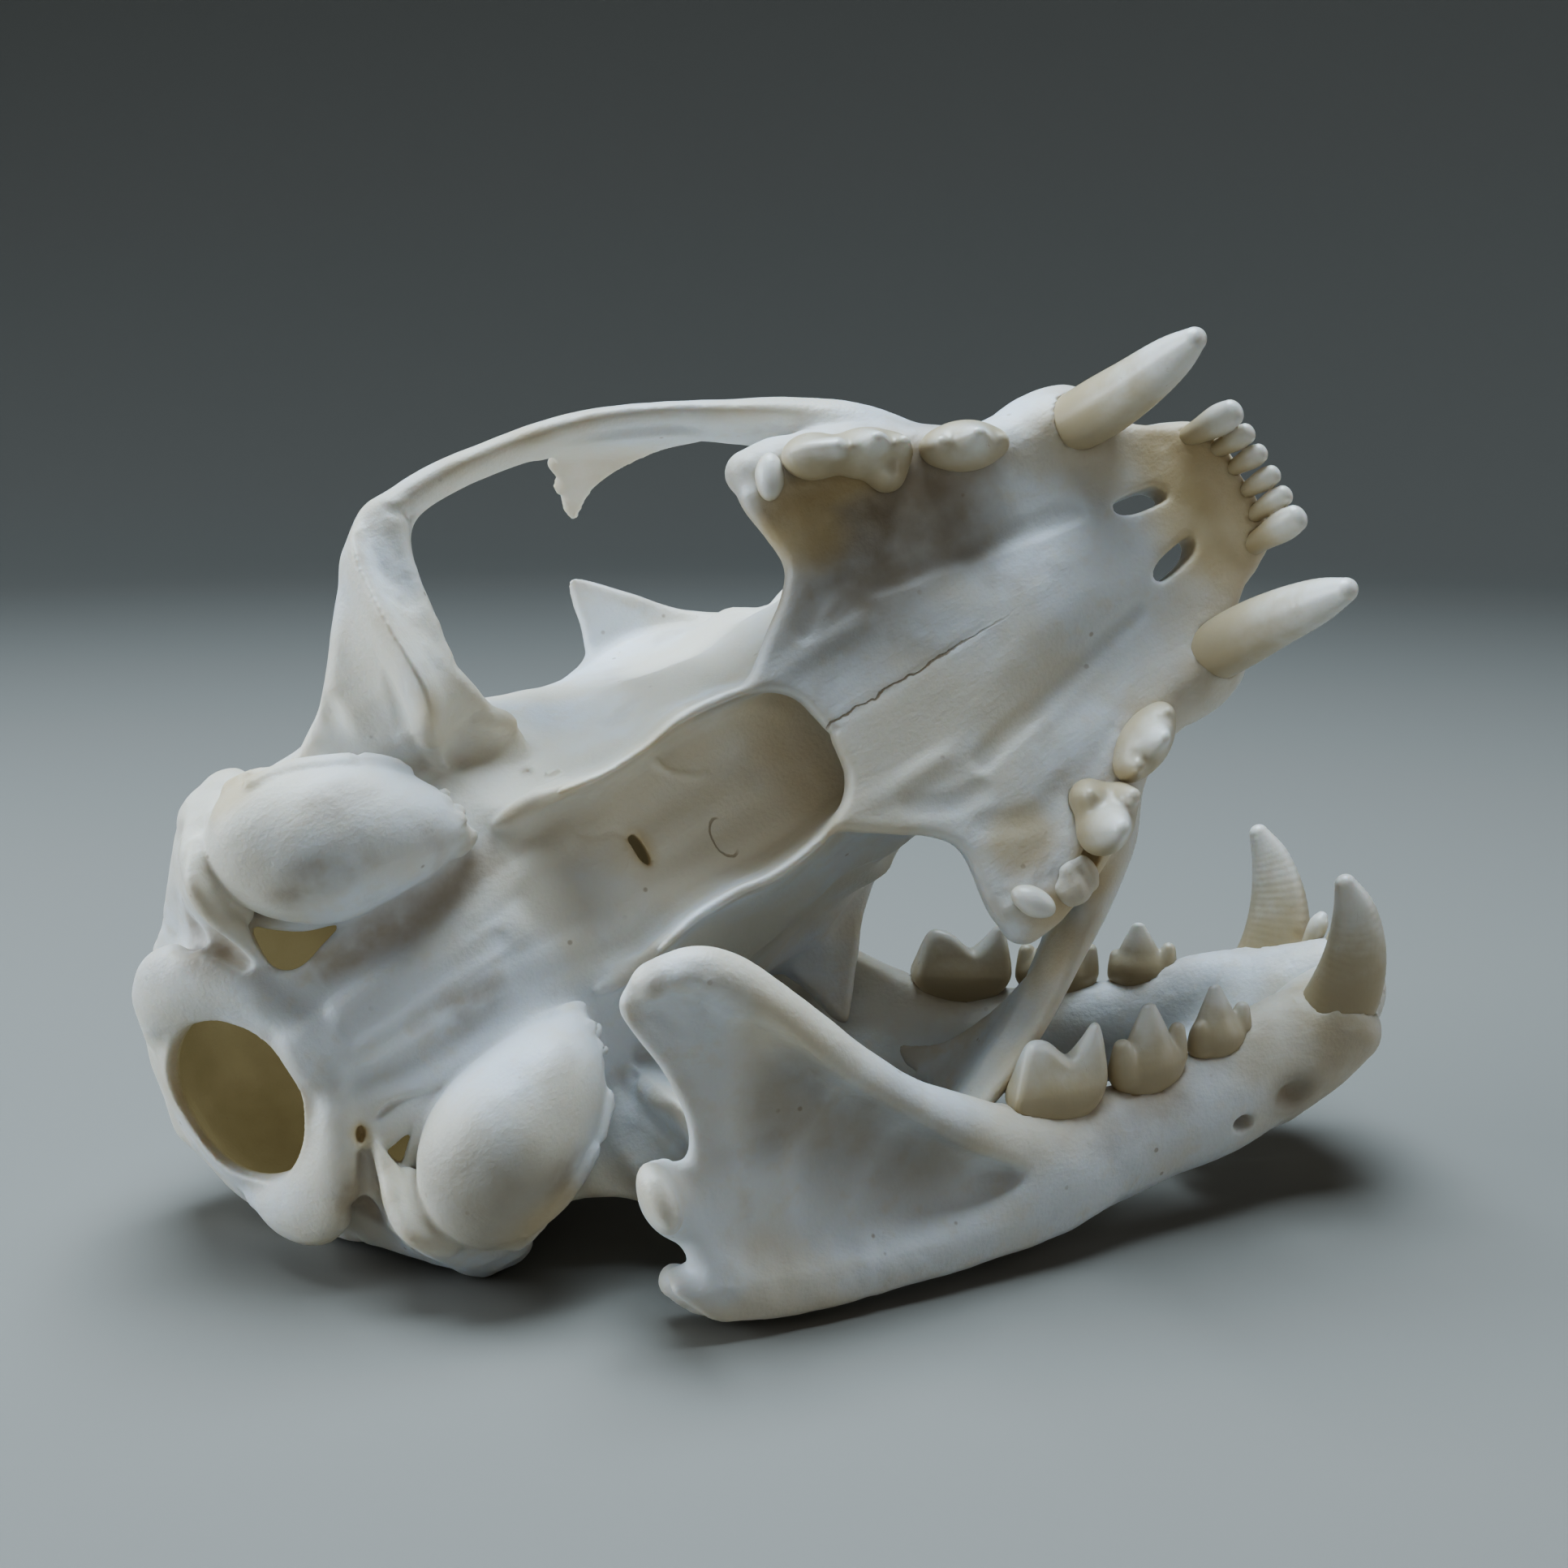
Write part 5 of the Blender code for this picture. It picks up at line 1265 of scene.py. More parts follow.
# ---------------------------------------------------------------- teeth of the left side
@dataclass(frozen=True)
class UpperTeeth:
    """The upper teeth of the left side, each a list of forms with their fillets."""

    def all(self) -> dict[str, list[Step]]:
        """Each tooth behind the incisors, by its name."""
        return {"canine": self.canine(), "P3": self.p3(), "P4": self.p4(), "M1": self.m1()}

    def incisors(self) -> list[Step]:
        """The three knobs of the left side, from the outermost to the midline.

        Returns:
            The forms, with their fillets.
        """
        teeth = (
            ((47.9, 6.3, -1.4), (49.9, 6.1, -6), 1.6), ((49.1, 3.75, -1.8), (50.6, 3.6, -5), 1.22),
            ((49.5, 1.3, -1.8), (50.8, 1.25, -4.8), 1.15),
        )
        return knobs(teeth, 0.6, 0.62, ((0.7, 0.7), (0.78, 0.85), (1, 0.95), (0.86, 0.66)))

    def canine(self) -> list[Step]:
        """The long fang.

        Returns:
            The forms, with their fillets.
        """
        return [(Strap(((34.5, 14, 8.5, 2.2, 2), (36.9, 13.8, 3.5, 3.2, 2.8), (39.3, 13.4, -2.2, 3.5, 3.1),
                        (41.6, 13.3, -7.5, 3.15, 2.8), (43.7, 13.5, -12.8, 2.5, 2.2),
                        (45, 13.7, -16.9, 1.3, 1.2)), X), 0)]

    def p3(self) -> list[Step]:
        """The third premolar, with one cusp and a small one on each side.

        Returns:
            The forms, with their fillets.
        """
        return [
            (Ball((26, 17.2, -1.3), (4.5, 2.4, 2.5), (-25, 0)), 0),
            (peg((26, 17.2, -1.5), (26.2, 17.3, -6), 2.9, 0.8, (1, -0.5, 0), 0.75), 1),
            (peg((23.5, 18.4, -1.2), (23.3, 18.5, -3.6), 1.4, 0.7), 0.8),
            (peg((29, 15.8, -1), (29.1, 15.8, -2.8), 1.2, 0.6), 0.6),
            (Strap(((26, 17.2, 2.2, 3.2, 1.6), (26, 17.2, -1, 3.6, 2)), (1, -0.5, 0)), 0.8),
        ]

    def p4(self) -> list[Step]:
        """The whole carnassial.

        Returns:
            The forms, with their fillets.
        """
        return [*self.p4_front(),
                (Ball((12.3, 23.8, -1.6), (3.3, 2.3, 2.4), (-28, 0)), 1),
                (Strap(((13.8, 23, -4.2, 2.4, 1.1), (11.8, 24.1, -3.6, 2, 1.1),
                        (10.6, 24.7, -3, 1.5, 1)), Z), 1),
                (Strap(((11.9, 24, 2.2, 1.8, 1.5), (11.9, 24, -1, 2, 1.8)), (1, -0.5, 0)), 0.8)]

    def p4_front(self) -> list[Step]:
        """The front half of the carnassial.

        Returns:
            The forms, with their fillets.
        """
        return [
            (Ball((17, 21.4, -1.4), (4.3, 2.4, 2.6), (-28, 0)), 0),
            (peg((16.8, 21.6, -2), (16.8, 21.8, -7.4), 3, 0.8, (1, -0.5, 0), 0.7), 1.2),
            (peg((19.5, 20.2, -1.5), (19.7, 20.3, -4.8), 1.6, 0.7), 1),
            (peg((17.9, 18.9, -0.8), (17.6, 18.6, -3), 2, 0.9), 1.2),
            (Strap(((17.8, 20.9, 2.2, 2.3, 1.6), (17.8, 20.9, -1, 2.6, 2)), (1, -0.5, 0)), 0.8),
        ]

    def p4_broken(self) -> list[Step]:
        """The left carnassial, which has lost its rear half.

        Returns:
            The forms, with their fillets.
        """
        return [
            (Ball((18.5, 21.5, -1.4), (3.4, 2.6, 2.6), (-28, 0)), 0),
            (peg((17.7, 22, -2), (17.4, 22.3, -6.8), 2.9, 1, (1, -0.5, 0), 0.85), 1.2),
            (peg((20.6, 20.6, -1.5), (20.9, 20.6, -4.6), 1.7, 0.8), 1),
            (peg((18.2, 18.9, -0.8), (17.7, 18.5, -3), 2, 0.9), 1.2),
            (Strap(((18.2, 21.2, 2.2, 2, 1.6), (18.2, 21.2, -1, 2.4, 2)), (1, -0.5, 0)), 0.8),
        ]

    def p4_stub(self) -> list[Step]:
        """What is left in the socket behind the broken carnassial."""
        return [(Ball((12.9, 25.2, -0.1), (2.6, 2.1, 0.9), (-28, 0)), 0.6),
                (Strap(((12.7, 25, 2.2, 1.6, 1.4), (12.7, 25, 0.8, 1.8, 1.5)), (1, -0.5, 0)), 0.6)]

    def m1(self, sunk: float = 0) -> list[Step]:
        """The small molar behind the carnassial, which can sit deeper in its socket."""
        return [(Ball((7.7, 24.4, sunk - 1.3), (1.4, 2.4, 1.5), (-32, 0)), 0),
                (Strap(((7.7, 24.4, 1.8, 1, 1.2), (7.7, 24.4, sunk - 1, 1.1, 1.4)), X), 0.6)]


@dataclass(frozen=True)
class LowerTeeth:
    """The lower teeth of the left side, each a list of forms with their fillets."""

    def all(self) -> dict[str, list[Step]]:
        """Each tooth behind the incisors, by its name."""
        return {"canine": self.canine(), "p3": self.p3(), "p4": self.p4(), "m1": self.m1()}

    def incisors(self) -> list[Step]:
        """The three small knobs of the left side.

        Returns:
            The forms, with their fillets.
        """
        teeth = (
            ((83.4, 5.4, 22.6), (84.9, 5.4, 26.3), 1.25), ((84.8, 3.3, 22.8), (86.2, 3.3, 25.9), 0.95),
            ((85.4, 1.45, 22.8), (86.8, 1.4, 25.5), 0.85),
        )
        return knobs(teeth, 0.8, 0.7, ((0.7, 0.7), (0.7, 0.75), (1, 0.85), (0.65, 0.5)))

    def canine(self) -> list[Step]:
        """The lower fang, which curves back.

        Returns:
            The forms, with their fillets.
        """
        return [(Strap(((74.6, 9, 13.8, 2.4, 2), (78.2, 9, 16.8, 3.8, 3), (81, 9.3, 21.4, 4, 3.1),
                        (81.8, 10.3, 26.5, 3.3, 2.7), (81.1, 11.2, 31.3, 2.3, 1.9),
                        (79.6, 11.8, 34.7, 1.1, 1)), X), 0)]

    def p3(self) -> list[Step]:
        """The third premolar.

        Returns:
            The forms, with their fillets.
        """
        return [
            (Ball((66.4, 12.3, 19), (3.5, 2, 2.3), (-22, 8)), 0),
            (peg((66.1, 12.3, 19.2), (65.8, 12.2, 24.2), 3.1, 0.8, (1, -0.4, 0), 0.6), 0.7),
            (peg((68.9, 11.4, 20), (69.2, 11.3, 21.6), 1.3, 0.8), 0.4),
            (peg((64, 13.3, 18.4), (63.8, 13.6, 20.4), 1.3, 0.8), 0.4),
            (Strap(((65.6, 12.6, 15.2, 1.8, 1.4), (65.8, 12.5, 19, 2.3, 1.7)), X), 0.8),
        ]

    def p4(self) -> list[Step]:
        """The fourth premolar.

        Returns:
            The forms, with their fillets.
        """
        return [
            (Ball((57.5, 15.9, 17.6), (4.5, 2.1, 2.8), (-20, 4)), 0),
            (peg((57.6, 16, 18.2), (57.4, 16.1, 23.8), 3.4, 0.9, (1, -0.35, 0), 0.6), 0.8),
            (peg((54.5, 17.4, 17.6), (54.3, 17.6, 20.2), 1.6, 1), 0.4),
            (peg((60.7, 14.8, 18.4), (61, 14.7, 20.9), 1.4, 0.8), 0.4),
            (Strap(((57.2, 16, 13.4, 3.4, 1.5), (57.4, 16, 17.5, 4, 2)), (1, -0.35, 0)), 0.8),
        ]

    def m1(self) -> list[Step]:
        """The carnassial, with its two blades and the notch between them.

        Returns:
            The forms, with their fillets.
        """
        blades = (
            (41.7, 16.4), (42.3, 19.4), (43.2, 21.9), (44.2, 22.6), (45.8, 22.2), (47.5, 20.7), (48.3, 20.4),
            (49.4, 21.5), (50.7, 23.2), (51.6, 23), (52.1, 20.6), (52.1, 17.4), (50, 15.2), (44, 15),
        )
        return [
            (Ball((46.9, 19.7, 16.6), (5.3, 2.3, 2.7), (-18, 2)), 0),
            (Slab(blades, lambda x, z: 19.6 - 0.33 * (x - 47.2),
                  lambda x, z: 0.95 + 0.26 * np.clip(22.5 - z, 0, 5), 1, 0.9, (14, 25)), 1),
            (Strap(((47, 19.7, 12.4, 3.4, 1.5), (47.2, 19.6, 16.5, 4.4, 2.1)), (1, -0.33, 0)), 0.8),
        ]


def tooth_clay(steps: Sequence[Step], voxel: float) -> Clay:
    """The clay of one tooth, or of a row of them.

    Args:
        steps: Its forms, with their fillets.
        voxel: The spacing of its distances, in mm.

    Returns:
        The clay.
    """
    lows, highs = zip(*(form.box() for form, _ in steps))
    tooth = Clay(np.min(lows, 0) - TOOTH_MARGIN, np.max(highs, 0) + TOOTH_MARGIN, voxel)
    for form, blend in steps:
        tooth.add(form, blend)
    return tooth


# ---------------------------------------------------------------- shader maths
class Wire:
    """A shader socket that Python's operators work on, each through a Math node."""

    def __init__(self, graph: Graph, socket: bpy.types.NodeSocket) -> None:
        """Wrap a socket of a graph."""
        self.graph = graph
        self.socket = socket

    def math(self, operation: str, *values: Wire | float) -> Wire:
        """A Math node on values."""
        return self.graph.node("ShaderNodeMath", {"operation": operation}, dict(enumerate(values)))

    def __add__(self, other: Wire | float) -> Wire:
        """The sum."""
        return self.math("ADD", self, other)

    def __sub__(self, other: Wire | float) -> Wire:
        """The difference."""
        return self.math("SUBTRACT", self, other)

    def __rsub__(self, other: float) -> Wire:
        """A number less this value."""
        return self.math("SUBTRACT", other, self)

    def __mul__(self, other: Wire | float) -> Wire:
        """The product."""
        return self.math("MULTIPLY", self, other)

    __radd__ = __add__
    __rmul__ = __mul__

    def __abs__(self) -> Wire:
        """The value without its sign."""
        return self.math("ABSOLUTE", self)

    def larger(self, other: Wire | float) -> Wire:
        """The larger of two values."""
        return self.math("MAXIMUM", self, other)

    def step(self, low: float, high: float) -> Wire:
        """A smooth rise from 0 at `low` to 1 at `high`."""
        return self.graph.node("ShaderNodeMapRange", {"interpolation_type": "SMOOTHSTEP"},
                               {0: self, 1: low, 2: high, 3: 0.0, 4: 1.0})


class Graph:
    """The nodes of one material."""

    def __init__(self, name: str) -> None:
        """Start a material with one Principled BSDF.

        Args:
            name: The material's name.
        """
        self.material = bpy.data.materials.new(name)
        self.material.use_nodes = True
        self.nodes = self.material.node_tree.nodes
        self.links = self.material.node_tree.links
        self.shader = self.nodes["Principled BSDF"]

    def set(self, target: bpy.types.NodeSocket, value: Wire | float | Sequence[float]) -> None:
        """Link a socket to a value, or set its number.

        Args:
            target: The socket.
            value: What goes into it.
        """
        if isinstance(value, Wire):
            self.links.new(value.socket, target)
        else:
            target.default_value = value

    def node(self, kind: str, settings: dict, values: dict, output: int | str = 0) -> Wire:
        """Add any node.

        Args:
            kind: Its type.
            settings: Its own settings, which are set first.
            values: What goes into its sockets, by name or number.
            output: Which of its outputs to take.

        Returns:
            The output.
        """
        made = self.nodes.new(kind)
        for key, value in settings.items():
            setattr(made, key, value)
        for key, value in values.items():
            self.set(made.inputs[key], value)
        return Wire(self, made.outputs[output])

    def trait(self, name: str) -> Wire:
        """A number that the mesh holds at each point."""
        return self.node("ShaderNodeAttribute", {"attribute_name": name}, {}, "Fac")

    def place(self) -> Wire:
        """The place in the bone's own frame, in metres, which the mesh holds at each point."""
        return self.node("ShaderNodeAttribute", {"attribute_name": "place"}, {}, "Vector")

    def along(self, place: Wire, axis: str) -> Wire:
        """One coordinate of a place, in mm."""
        return self.node("ShaderNodeSeparateXYZ", {}, {0: place}, axis) * (1 / MM)

    def noise(self, place: Wire, size: float, detail: float = 3.0, stretch: Point = (1, 1, 1)) -> Wire:
        """Noise between 0 and 1.

        Args:
            place: Where it is read.
            size: The size of its blotches, in mm.
            detail: How many finer layers it has.
            stretch: How much smaller the blotches are along each axis.

        Returns:
            The noise.
        """
        squeezed = self.node("ShaderNodeVectorMath", {"operation": "MULTIPLY"}, {0: place, 1: stretch})
        values = {"Vector": squeezed, "Scale": 1 / (size * MM), "Detail": detail}
        return self.node("ShaderNodeTexNoise", {}, values)

    def mix(self, share: Wire | float, low: Wire | Point, high: Wire | Point) -> Wire:
        """A colour between two others.

        Args:
            share: How much of the second it has.
            low: The first colour.
            high: The second colour.

        Returns:
            The colour.
        """
        low, high = ((*c, 1.0) if not isinstance(c, Wire) else c for c in (low, high))
        return self.node("ShaderNodeMix", {"data_type": "RGBA"}, {0: share, 6: low, 7: high}, 2)

    def bump(self, height: Wire, distance: float, strength: float = 1.0) -> Wire:
        """A surface normal bent by a height between 0 and 1 that stands for `distance` mm."""
        values = {"Height": height, "Distance": distance * MM, "Strength": strength}
        return self.node("ShaderNodeBump", {}, values)


# ---------------------------------------------------------------- finishes
@dataclass(frozen=True)
class BoneFinish:
    """Dry, cleaned bone: ivory white and browner round the teeth, with painted light: amber, olive and a
    painted glow where it is thin or deep, for light through the bone, and painted shade in small hollows and
    shaded places.
    """

    name: str
    ivory: Point = (0.80, 0.75, 0.65)
    chalk: Point = (0.81, 0.83, 0.85)
    amber: Point = (0.60, 0.46, 0.24)
    olive: Point = (0.38, 0.33, 0.19)
    brown: Point = (0.46, 0.32, 0.19)
    # the colour of smudges, pores, cracks and stains, and of the painted shade among the stains
    smudge: Point = (0.37, 0.28, 0.19)
    # the colour of painted shade
    grime: Point = (0.31, 0.265, 0.205)
    glow: Point = (0.084, 0.079, 0.053)  # the light that comes through the thin walls of the brain case
    veil: Point = (0.030, 0.028, 0.021)  # and through the roof of the throat passage
    roughness: float = 0.50

    def material(self) -> bpy.types.Material:
        """The finish as a material.

        Returns:
            The material.
        """
        g = Graph(self.name)
        place = g.place()
        pit, thin, gum, cave, stain, warm, veil, grime = (
            g.trait(name) for name in ("pit", "thin", "gum", "cave", "stain", "warm", "veil", "grime"))
        cloud, patch, mottle = g.noise(place, 20, 3), g.noise(place, 8, 4), g.noise(place, 2.4, 5)
        colour = g.mix(cloud.step(0.40, 0.60), self.ivory, self.chalk)
        colour = g.mix(mottle.step(0.50, 0.72) * 0.4, colour, self.ivory)
        colour = g.mix(patch.step(0.56, 0.72) * cloud.step(0.35, 0.55) * 0.22, colour, self.smudge)
        # stains, and painted shade where the marks stand in for shade
        colour = g.mix(stain * patch.step(0.30, 0.60) * (0.35 + 0.5 * mottle), colour, self.smudge)
        # painted shade: the bone is darkened where shade falls, in the marked places
        colour = g.mix(grime * (0.42 + 0.2 * mottle), colour, self.grime)
        # painted light: amber where the bone is thin and in the warm places, standing in for light that shows
        # through it
        colour = g.mix(thin * patch.step(0.30, 0.62) * 0.35, colour, self.amber)
        colour = g.mix(warm * (0.3 + 0.5 * patch), colour, self.amber)
        colour = g.mix(gum * (0.05 + 0.18 * patch.step(0.36, 0.62)), colour, self.brown)
        # painted shade: browner in small hollows, more so round the teeth
        colour = g.mix(pit * (0.14 + 0.4 * gum), colour, self.brown)
        # painted light: olive inside the brain case, for light through its thin walls
        colour = g.mix(cave * (0.86 + 0.1 * patch), colour, self.olive)
        colour = g.mix(self.pores(g, place) * 0.55, colour, self.smudge)
        crack = self.cracks(g, place)
        colour = g.mix(crack * 0.85, colour, self.smudge)
        g.set(g.shader.inputs["Base Color"], colour)
        g.set(g.shader.inputs["Roughness"], self.roughness + 0.16 * mottle - 0.08)
        # painted glow: emission inside the brain case, in the warm places and in the throat roof, for light
        # through thin bone
        lit = cave * (0.45 + cloud.step(0.3, 0.7) * 0.5 + mottle * 0.3) + warm * 0.25
        g.set(g.shader.inputs["Emission Color"], g.mix(veil, g.mix(lit, (0, 0, 0), self.glow), self.veil))
        g.shader.inputs["Emission Strength"].default_value = 1.0
        fibre = g.noise(place, 1.3, 4, (0.22, 1.0, 1.0))
        grain = g.noise(place, 0.45, 3) * 0.35 + fibre * 0.45 + mottle * 0.45 - crack * 0.9
        g.set(g.shader.inputs["Normal"], g.bump(grain, 0.18, 0.9))
        soften(g, 0.20, 1.4)
        return g.material

    def pores(self, g: Graph, place: Wire) -> Wire:
        """The few dark pores."""
        cells = g.node("ShaderNodeTexVoronoi", {}, {"Vector": place, "Scale": 1 / (3.4 * MM)})
        return (1 - cells.step(0.05, 0.10)) * g.noise(place, 9, 1).step(0.48, 0.6)

    def cracks(self, g: Graph, place: Wire) -> Wire:
        """The hair cracks: along the palate's middle, and round a flake in the roof of the throat passage.

        Args:
            g: The material's nodes.
            place: Where they are read.

        Returns:
            How much of a crack there is, from 0 to 1.
        """
        x, y, z = (g.along(place, axis) for axis in "XYZ")
        wander = (g.noise(place, 2.2, 4) - 0.5) * 1.3
        palate = self.hair(y + 0.7 + wander, 0.16)
        palate = palate * x.step(-0.6, 0.0) * (1 - x.step(11.0, 24.0)) * (1 - z.step(1.2, 1.8))
        ring = (x + 13.3) * (x + 13.3) * 1.6 + (y - 3.4) * (y - 3.4) * 0.55
        flake = self.hair(ring - 2.6 + wander * 1.6, 0.5) * (1 - x.step(-13.4, -12.6)) * z.step(7.0, 8.0)
        return palate.larger(flake * 0.8)

    def hair(self, distance: Wire, width: float) -> Wire:
        """A thin line where a distance is nearly nothing."""
        return 1 - abs(distance).step(width * 0.3, width)


@dataclass(frozen=True)
class EnamelFinish:
    """Teeth: yellowish ivory enamel, whiter at the tips and browner near the roots, with fine checks."""

    name: str
    crown: Point = (0.68, 0.60, 0.44)
    tip: Point = (0.84, 0.82, 0.77)
    neck: Point = (0.48, 0.375, 0.225)
    check: Point = (0.40, 0.27, 0.16)
    roughness: float = 0.30

    def material(self) -> bpy.types.Material:
        """The finish as a material.

        Returns:
            The material.
        """
        g = Graph(self.name)
        place = g.place()
        rise = g.trait("rise")
        blotch = g.noise(place, 3.0, 3)
        streak = g.noise(place, 1.6, 4, (1.0, 1.0, 0.16))
        colour = g.mix((rise + 0.5 * blotch).step(0.75, 1.25), self.crown, self.tip)
        low = 1 - (rise + 0.25 * blotch).step(0.42, 1.02)
        colour = g.mix(low * (0.50 + 0.35 * blotch), colour, self.neck)
        # painted shade: browner in the tooth's small hollows
        colour = g.mix(g.trait("pit") * 0.5, colour, self.neck)
        crack = (1 - abs(streak - 0.5).step(0.002, 0.009)) * blotch.step(0.60, 0.70)
        colour = g.mix(crack * 0.35, colour, self.check)
        g.set(g.shader.inputs["Base Color"], colour)
        g.set(g.shader.inputs["Roughness"], self.roughness + 0.2 * blotch)
        relief = g.noise(place, 0.7, 3) * 0.4 + streak * 0.6 - crack * 0.15
        g.set(g.shader.inputs["Normal"], g.bump(relief, 0.07, 0.7))
        soften(g, 0.22, 1.1)
        g.shader.inputs["Coat Weight"].default_value = 0.25
        g.shader.inputs["Coat Roughness"].default_value = 0.2
        return g.material


@dataclass(frozen=True)
class FloorFinish:
    """A plain pale studio sweep."""

    name: str
    colour: Point = (0.34, 0.328, 0.30)

    def material(self) -> bpy.types.Material:
        """The finish as a material.

        Returns:
            The material.
        """
        g = Graph(self.name)
        g.set(g.shader.inputs["Base Color"], (*self.colour, 1.0))
        g.set(g.shader.inputs["Roughness"], 0.8)
        return g.material


LIGHT_REACH = (1.0, 0.62, 0.32)  # how far red, green and blue light get in bone, over how far red does


def soften(graph: Graph, weight: float, reach: float) -> None:
    """Let light through the surface.

    Args:
        graph: The material's nodes.
        weight: How much of the light goes under the surface.
        reach: How far red light gets there, in mm.
    """
    shader = graph.shader
    shader.subsurface_method = "RANDOM_WALK"
    shader.inputs["Subsurface Weight"].default_value = weight
    shader.inputs["Subsurface Radius"].default_value = LIGHT_REACH
    shader.inputs["Subsurface Scale"].default_value = reach * MM


# ---------------------------------------------------------------- studio
@dataclass(frozen=True)
class Lamp:
    """A soft rectangular light that points at the skull."""

    name: str
    place: Point  # metres
    size: tuple[float, float]
    watts: float
    colour: Point
    aim: Point = (0, 0, 0.04)  # metres

    def build(self) -> None:
        """Hang the light."""
        data = bpy.data.lights.new(self.name, "AREA")
        data.shape, data.size, data.size_y = "RECTANGLE", *self.size
        data.energy, data.color = self.watts, self.colour
        made = bpy.data.objects.new(self.name, data)
        made.location = self.place
        made.rotation_euler = (Vector(self.aim) - made.location).to_track_quat("-Z", "Y").to_euler()
        bpy.context.scene.collection.objects.link(made)


@dataclass(frozen=True)
class Studio:
    """The floor, the lights and the camera at the photograph's viewing angle."""

    lens: float = 48.54  # mm
    sensor: float = 36.0  # mm
    clip_start: float = 0.01  # metres
    camera_place: Point = (0.0, -213.036, 88.755)  # mm, before the ground shift
    look_down: float = 11.6065  # degrees
    sweep_radius: float = 1.1  # metres
    flat_share: float = 0.6  # of the radius, before the floor sweeps up
    wall: float = 0.5  # metres, above the sweep
    turns: int = 96  # the floor's faces round its middle
    room: Point = (0.95, 0.82, 0.66)  # the light that comes from all round
    room_strength: float = 0.03
    look: str = "AgX - High Contrast"
    lamps: tuple[Lamp, ...] = (
        Lamp("overhead_softbox", (-0.02, 0.05, 0.62), (0.40, 0.40), 4.1, (0.71, 0.86, 1.0)),
        Lamp("left_softbox", (-0.65, -0.04, 0.22), (0.40, 0.40), 2.8, (0.77, 0.885, 1.0)),
        Lamp("right_fill", (0.65, 0.0, 0.25), (0.40, 0.40), 0.5, (0.94, 0.97, 1.0)),
        Lamp("front_fill", (0.05, -0.70, 0.30), (0.50, 0.50), 0.20, (1.0, 0.86, 0.68)),
    )

    def floor(self) -> None:
        """A round floor whose rim sweeps up, so that no view shows an edge."""
        flat, turns = self.sweep_radius * self.flat_share, self.turns
        rise = self.sweep_radius - flat
        rim = [(flat + rise * math.sin(a), rise * (1 - math.cos(a))) for a in np.linspace(0, math.pi / 2, 16)]
        outline = [(flat * 0.1, 0.0), (flat * 0.9, 0.0), *rim, (rim[-1][0], rim[-1][1] + self.wall)]
        mesh = bpy.data.meshes.new("floor")
        points = [(r * math.cos(t), r * math.sin(t), z) for r, z in outline
                  for t in np.linspace(0, 2 * math.pi, turns, endpoint=False)]
        faces = [[i + k, i + turns + k, i + turns + (k + 1) % turns, i + (k + 1) % turns]
                 for i in range(0, turns * (len(outline) - 1), turns) for k in range(turns)]
        mesh.from_pydata(points, [], [list(range(turns)), *faces])
        mesh.shade_smooth()
        mesh.materials.append(FloorFinish("pale_floor").material())
        made = bpy.data.objects.new("floor", mesh)
        bpy.context.scene.collection.objects.link(made)

    def camera(self) -> None:
        """The camera where the photograph was taken from."""
        data = bpy.data.cameras.new("camera")
        data.lens, data.sensor_width, data.clip_start = self.lens, self.sensor, self.clip_start
        made = bpy.data.objects.new("camera", data)
        made.location = (Vector(self.camera_place) + Vector(GROUND_SHIFT)) * MM
        made.rotation_euler = (math.radians(90 - self.look_down), 0, 0)
        bpy.context.scene.collection.objects.link(made)
        bpy.context.scene.camera = made

    def build(self) -> None:
        """Set up the whole studio."""
        self.floor()
        self.camera()
        for lamp in self.lamps:
            lamp.build()
        world = bpy.data.worlds.new("soft_room")
        world.use_nodes = True
        background = world.node_tree.nodes["Background"]
        background.inputs["Color"].default_value = (*self.room, 1)
        background.inputs["Strength"].default_value = self.room_strength
        bpy.context.scene.world = world
        bpy.context.scene.view_settings.look = self.look


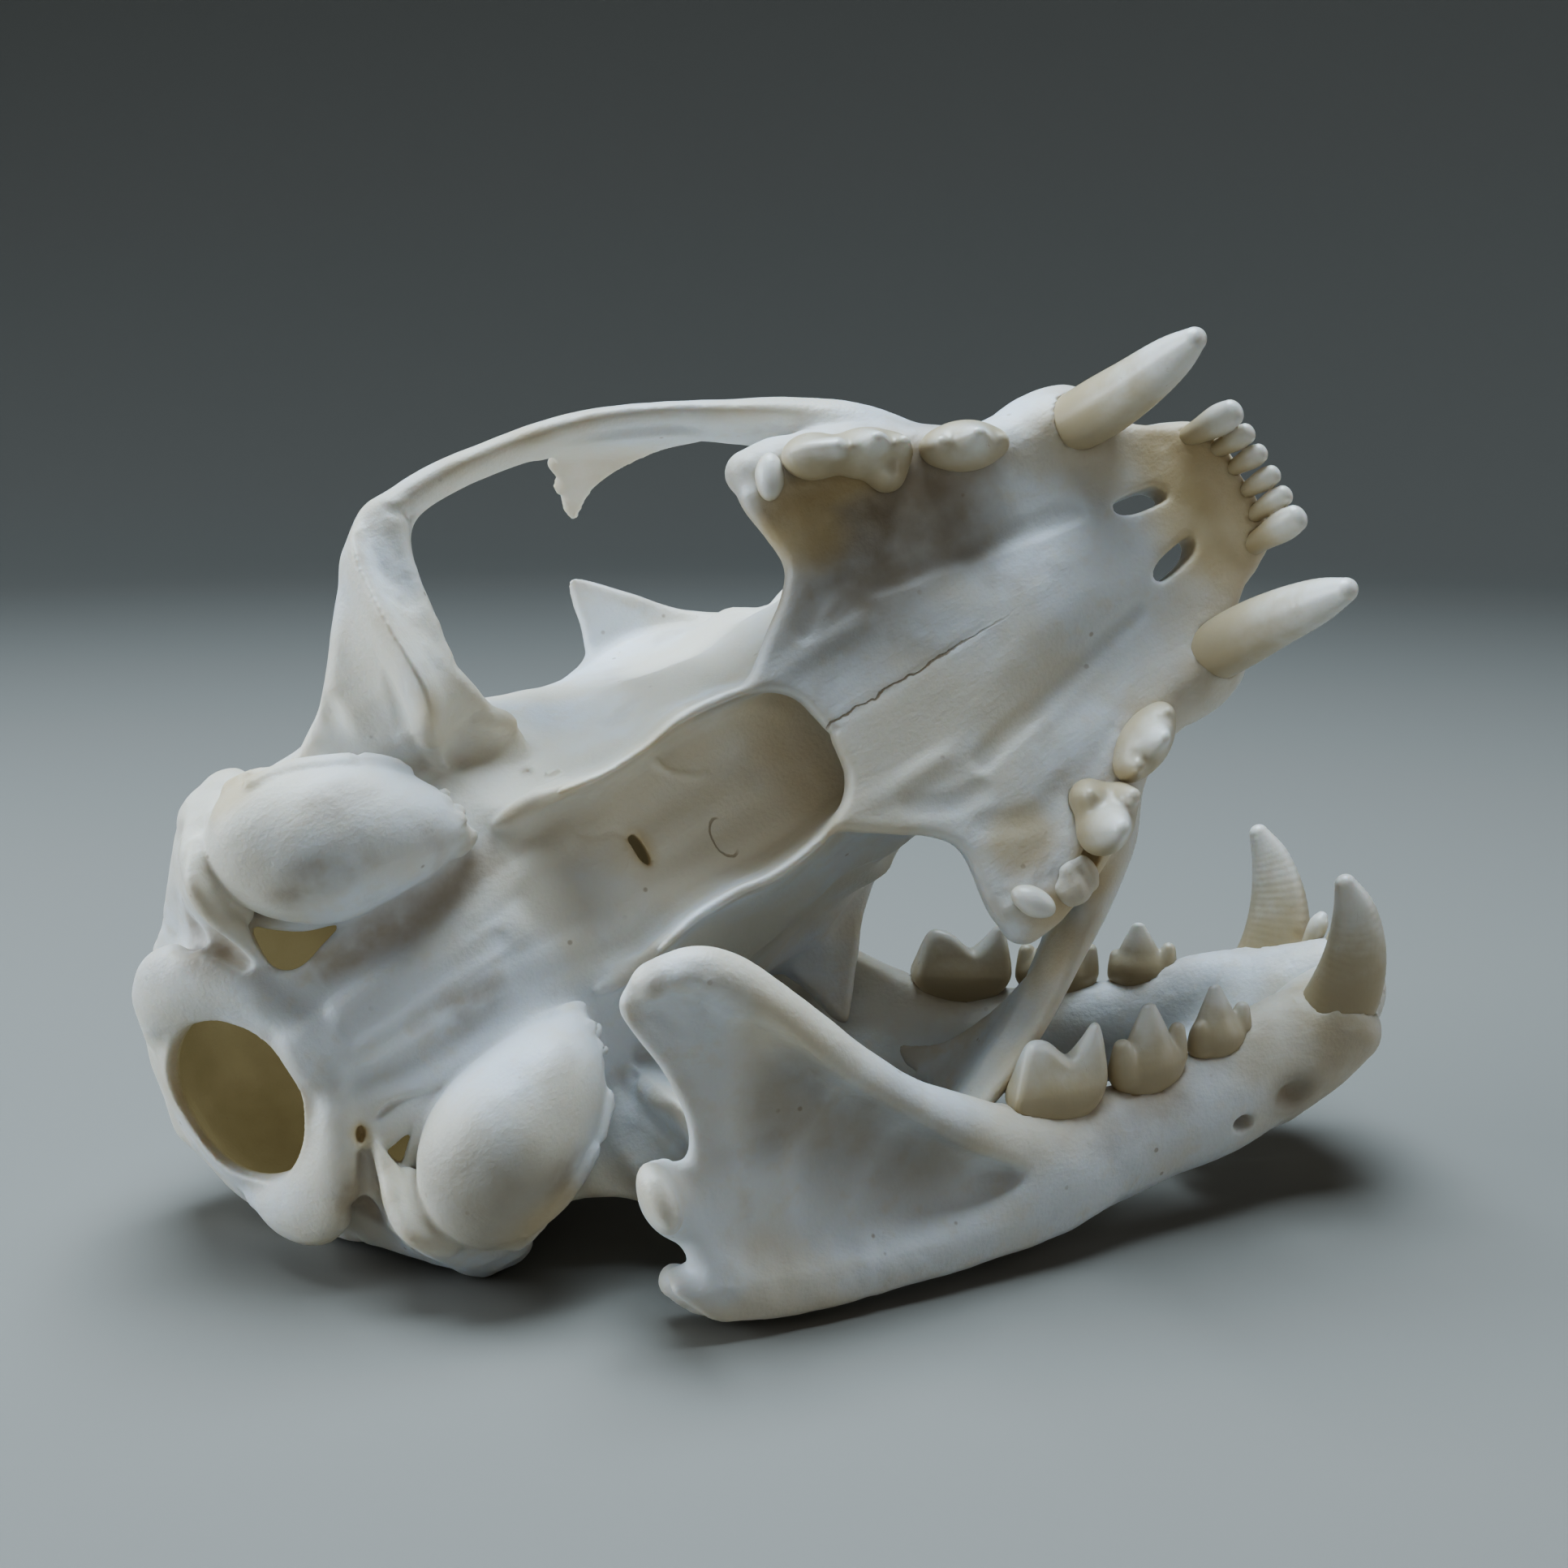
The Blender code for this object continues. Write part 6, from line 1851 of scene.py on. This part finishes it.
# ---------------------------------------------------------------- the skull
@dataclass
class Skull:
    """All the pieces of the skull, in the order in which they are built."""

    tooth_voxel: float = 0.2
    incisor_voxel: float = 0.16
    molar_depth: float = 1.0  # mm, how much deeper than the left one the right upper molar sits

    def build_bones(self) -> None:
        """The cranium and the two halves of the lower jaw."""
        bone = BoneFinish("bone_ivory").material()
        head = Cranium().clay().skin()
        Piece("cranium_bone", HEAD_POSE, bone, Slot.BONE, HEAD_SCALE, ("cranium",)).make(head)
        half = LowerJaw().clay().skin()
        for side in Side:
            name = f"mandible_{side.word}"
            Piece(f"{name}_bone", JAW_POSE, bone, Slot.BONE, 1.0, (name,)).make(half.on(side))

    def build_teeth(self) -> None:
        """Every tooth, each an enamel piece of its own, and the incisors as one row a side."""
        enamel = EnamelFinish("enamel").material()
        unlike = {
            "upper_P4_left": UpperTeeth().p4_broken(),
            "upper_M1_right": UpperTeeth().m1(self.molar_depth),
        }
        rows = (
            ("upper", HEAD_POSE, HEAD_SCALE, UpperTeeth(), -1),
            ("lower", JAW_POSE, 1.0, LowerTeeth(), 1),
        )
        for level, pose, scale, teeth, up in rows:
            for side in Side:
                for name, steps in teeth.all().items():
                    node = f"{level}_{name}_{side.word}"
                    skin = self.tooth_skin(unlike.get(node, steps), self.tooth_voxel, up).on(side)
                    Piece(f"{node}_enamel", pose, enamel, Slot.TOOTH, scale, (node,)).make(skin)
                skin = self.tooth_skin(teeth.incisors(), self.incisor_voxel, up).on(side)
                Piece(f"{level}_incisors_{side.word}", pose, enamel, Slot.TOOTH, scale).make(skin)

    def build_stub(self) -> None:
        """The rough stump in the socket behind the broken carnassial."""
        stub = tooth_clay(UpperTeeth().p4_stub(), self.tooth_voxel)
        stub.roughen(31, 1.1, 0.35)
        dentine = BoneFinish("broken_dentine").material()
        Piece("upper_P4_left_stump", HEAD_POSE, dentine, Slot.TOOTH, HEAD_SCALE).make(stub.skin())

    def tooth_skin(self, steps: Sequence[Step], voxel: float, up: int) -> Skin:
        """The surface of a tooth, which also tells how near each point is to the tip.

        Args:
            steps: The tooth's forms.
            voxel: The spacing of its distances, in mm.
            up: The sign of z towards its tip.

        Returns:
            The surface.
        """
        skin = tooth_clay(steps, voxel).skin()
        level = skin.points[:, 2] * up
        skin.traits["rise"] = (level - level.min()) / (level.max() - level.min())
        return skin


def main() -> None:
    """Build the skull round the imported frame, and the studio round the skull."""
    logging.basicConfig(level=logging.INFO, format="%(message)s")
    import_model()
    Studio().build()
    skull = Skull()
    skull.build_bones()
    skull.build_teeth()
    skull.build_stub()


if __name__ == "__main__":
    main()
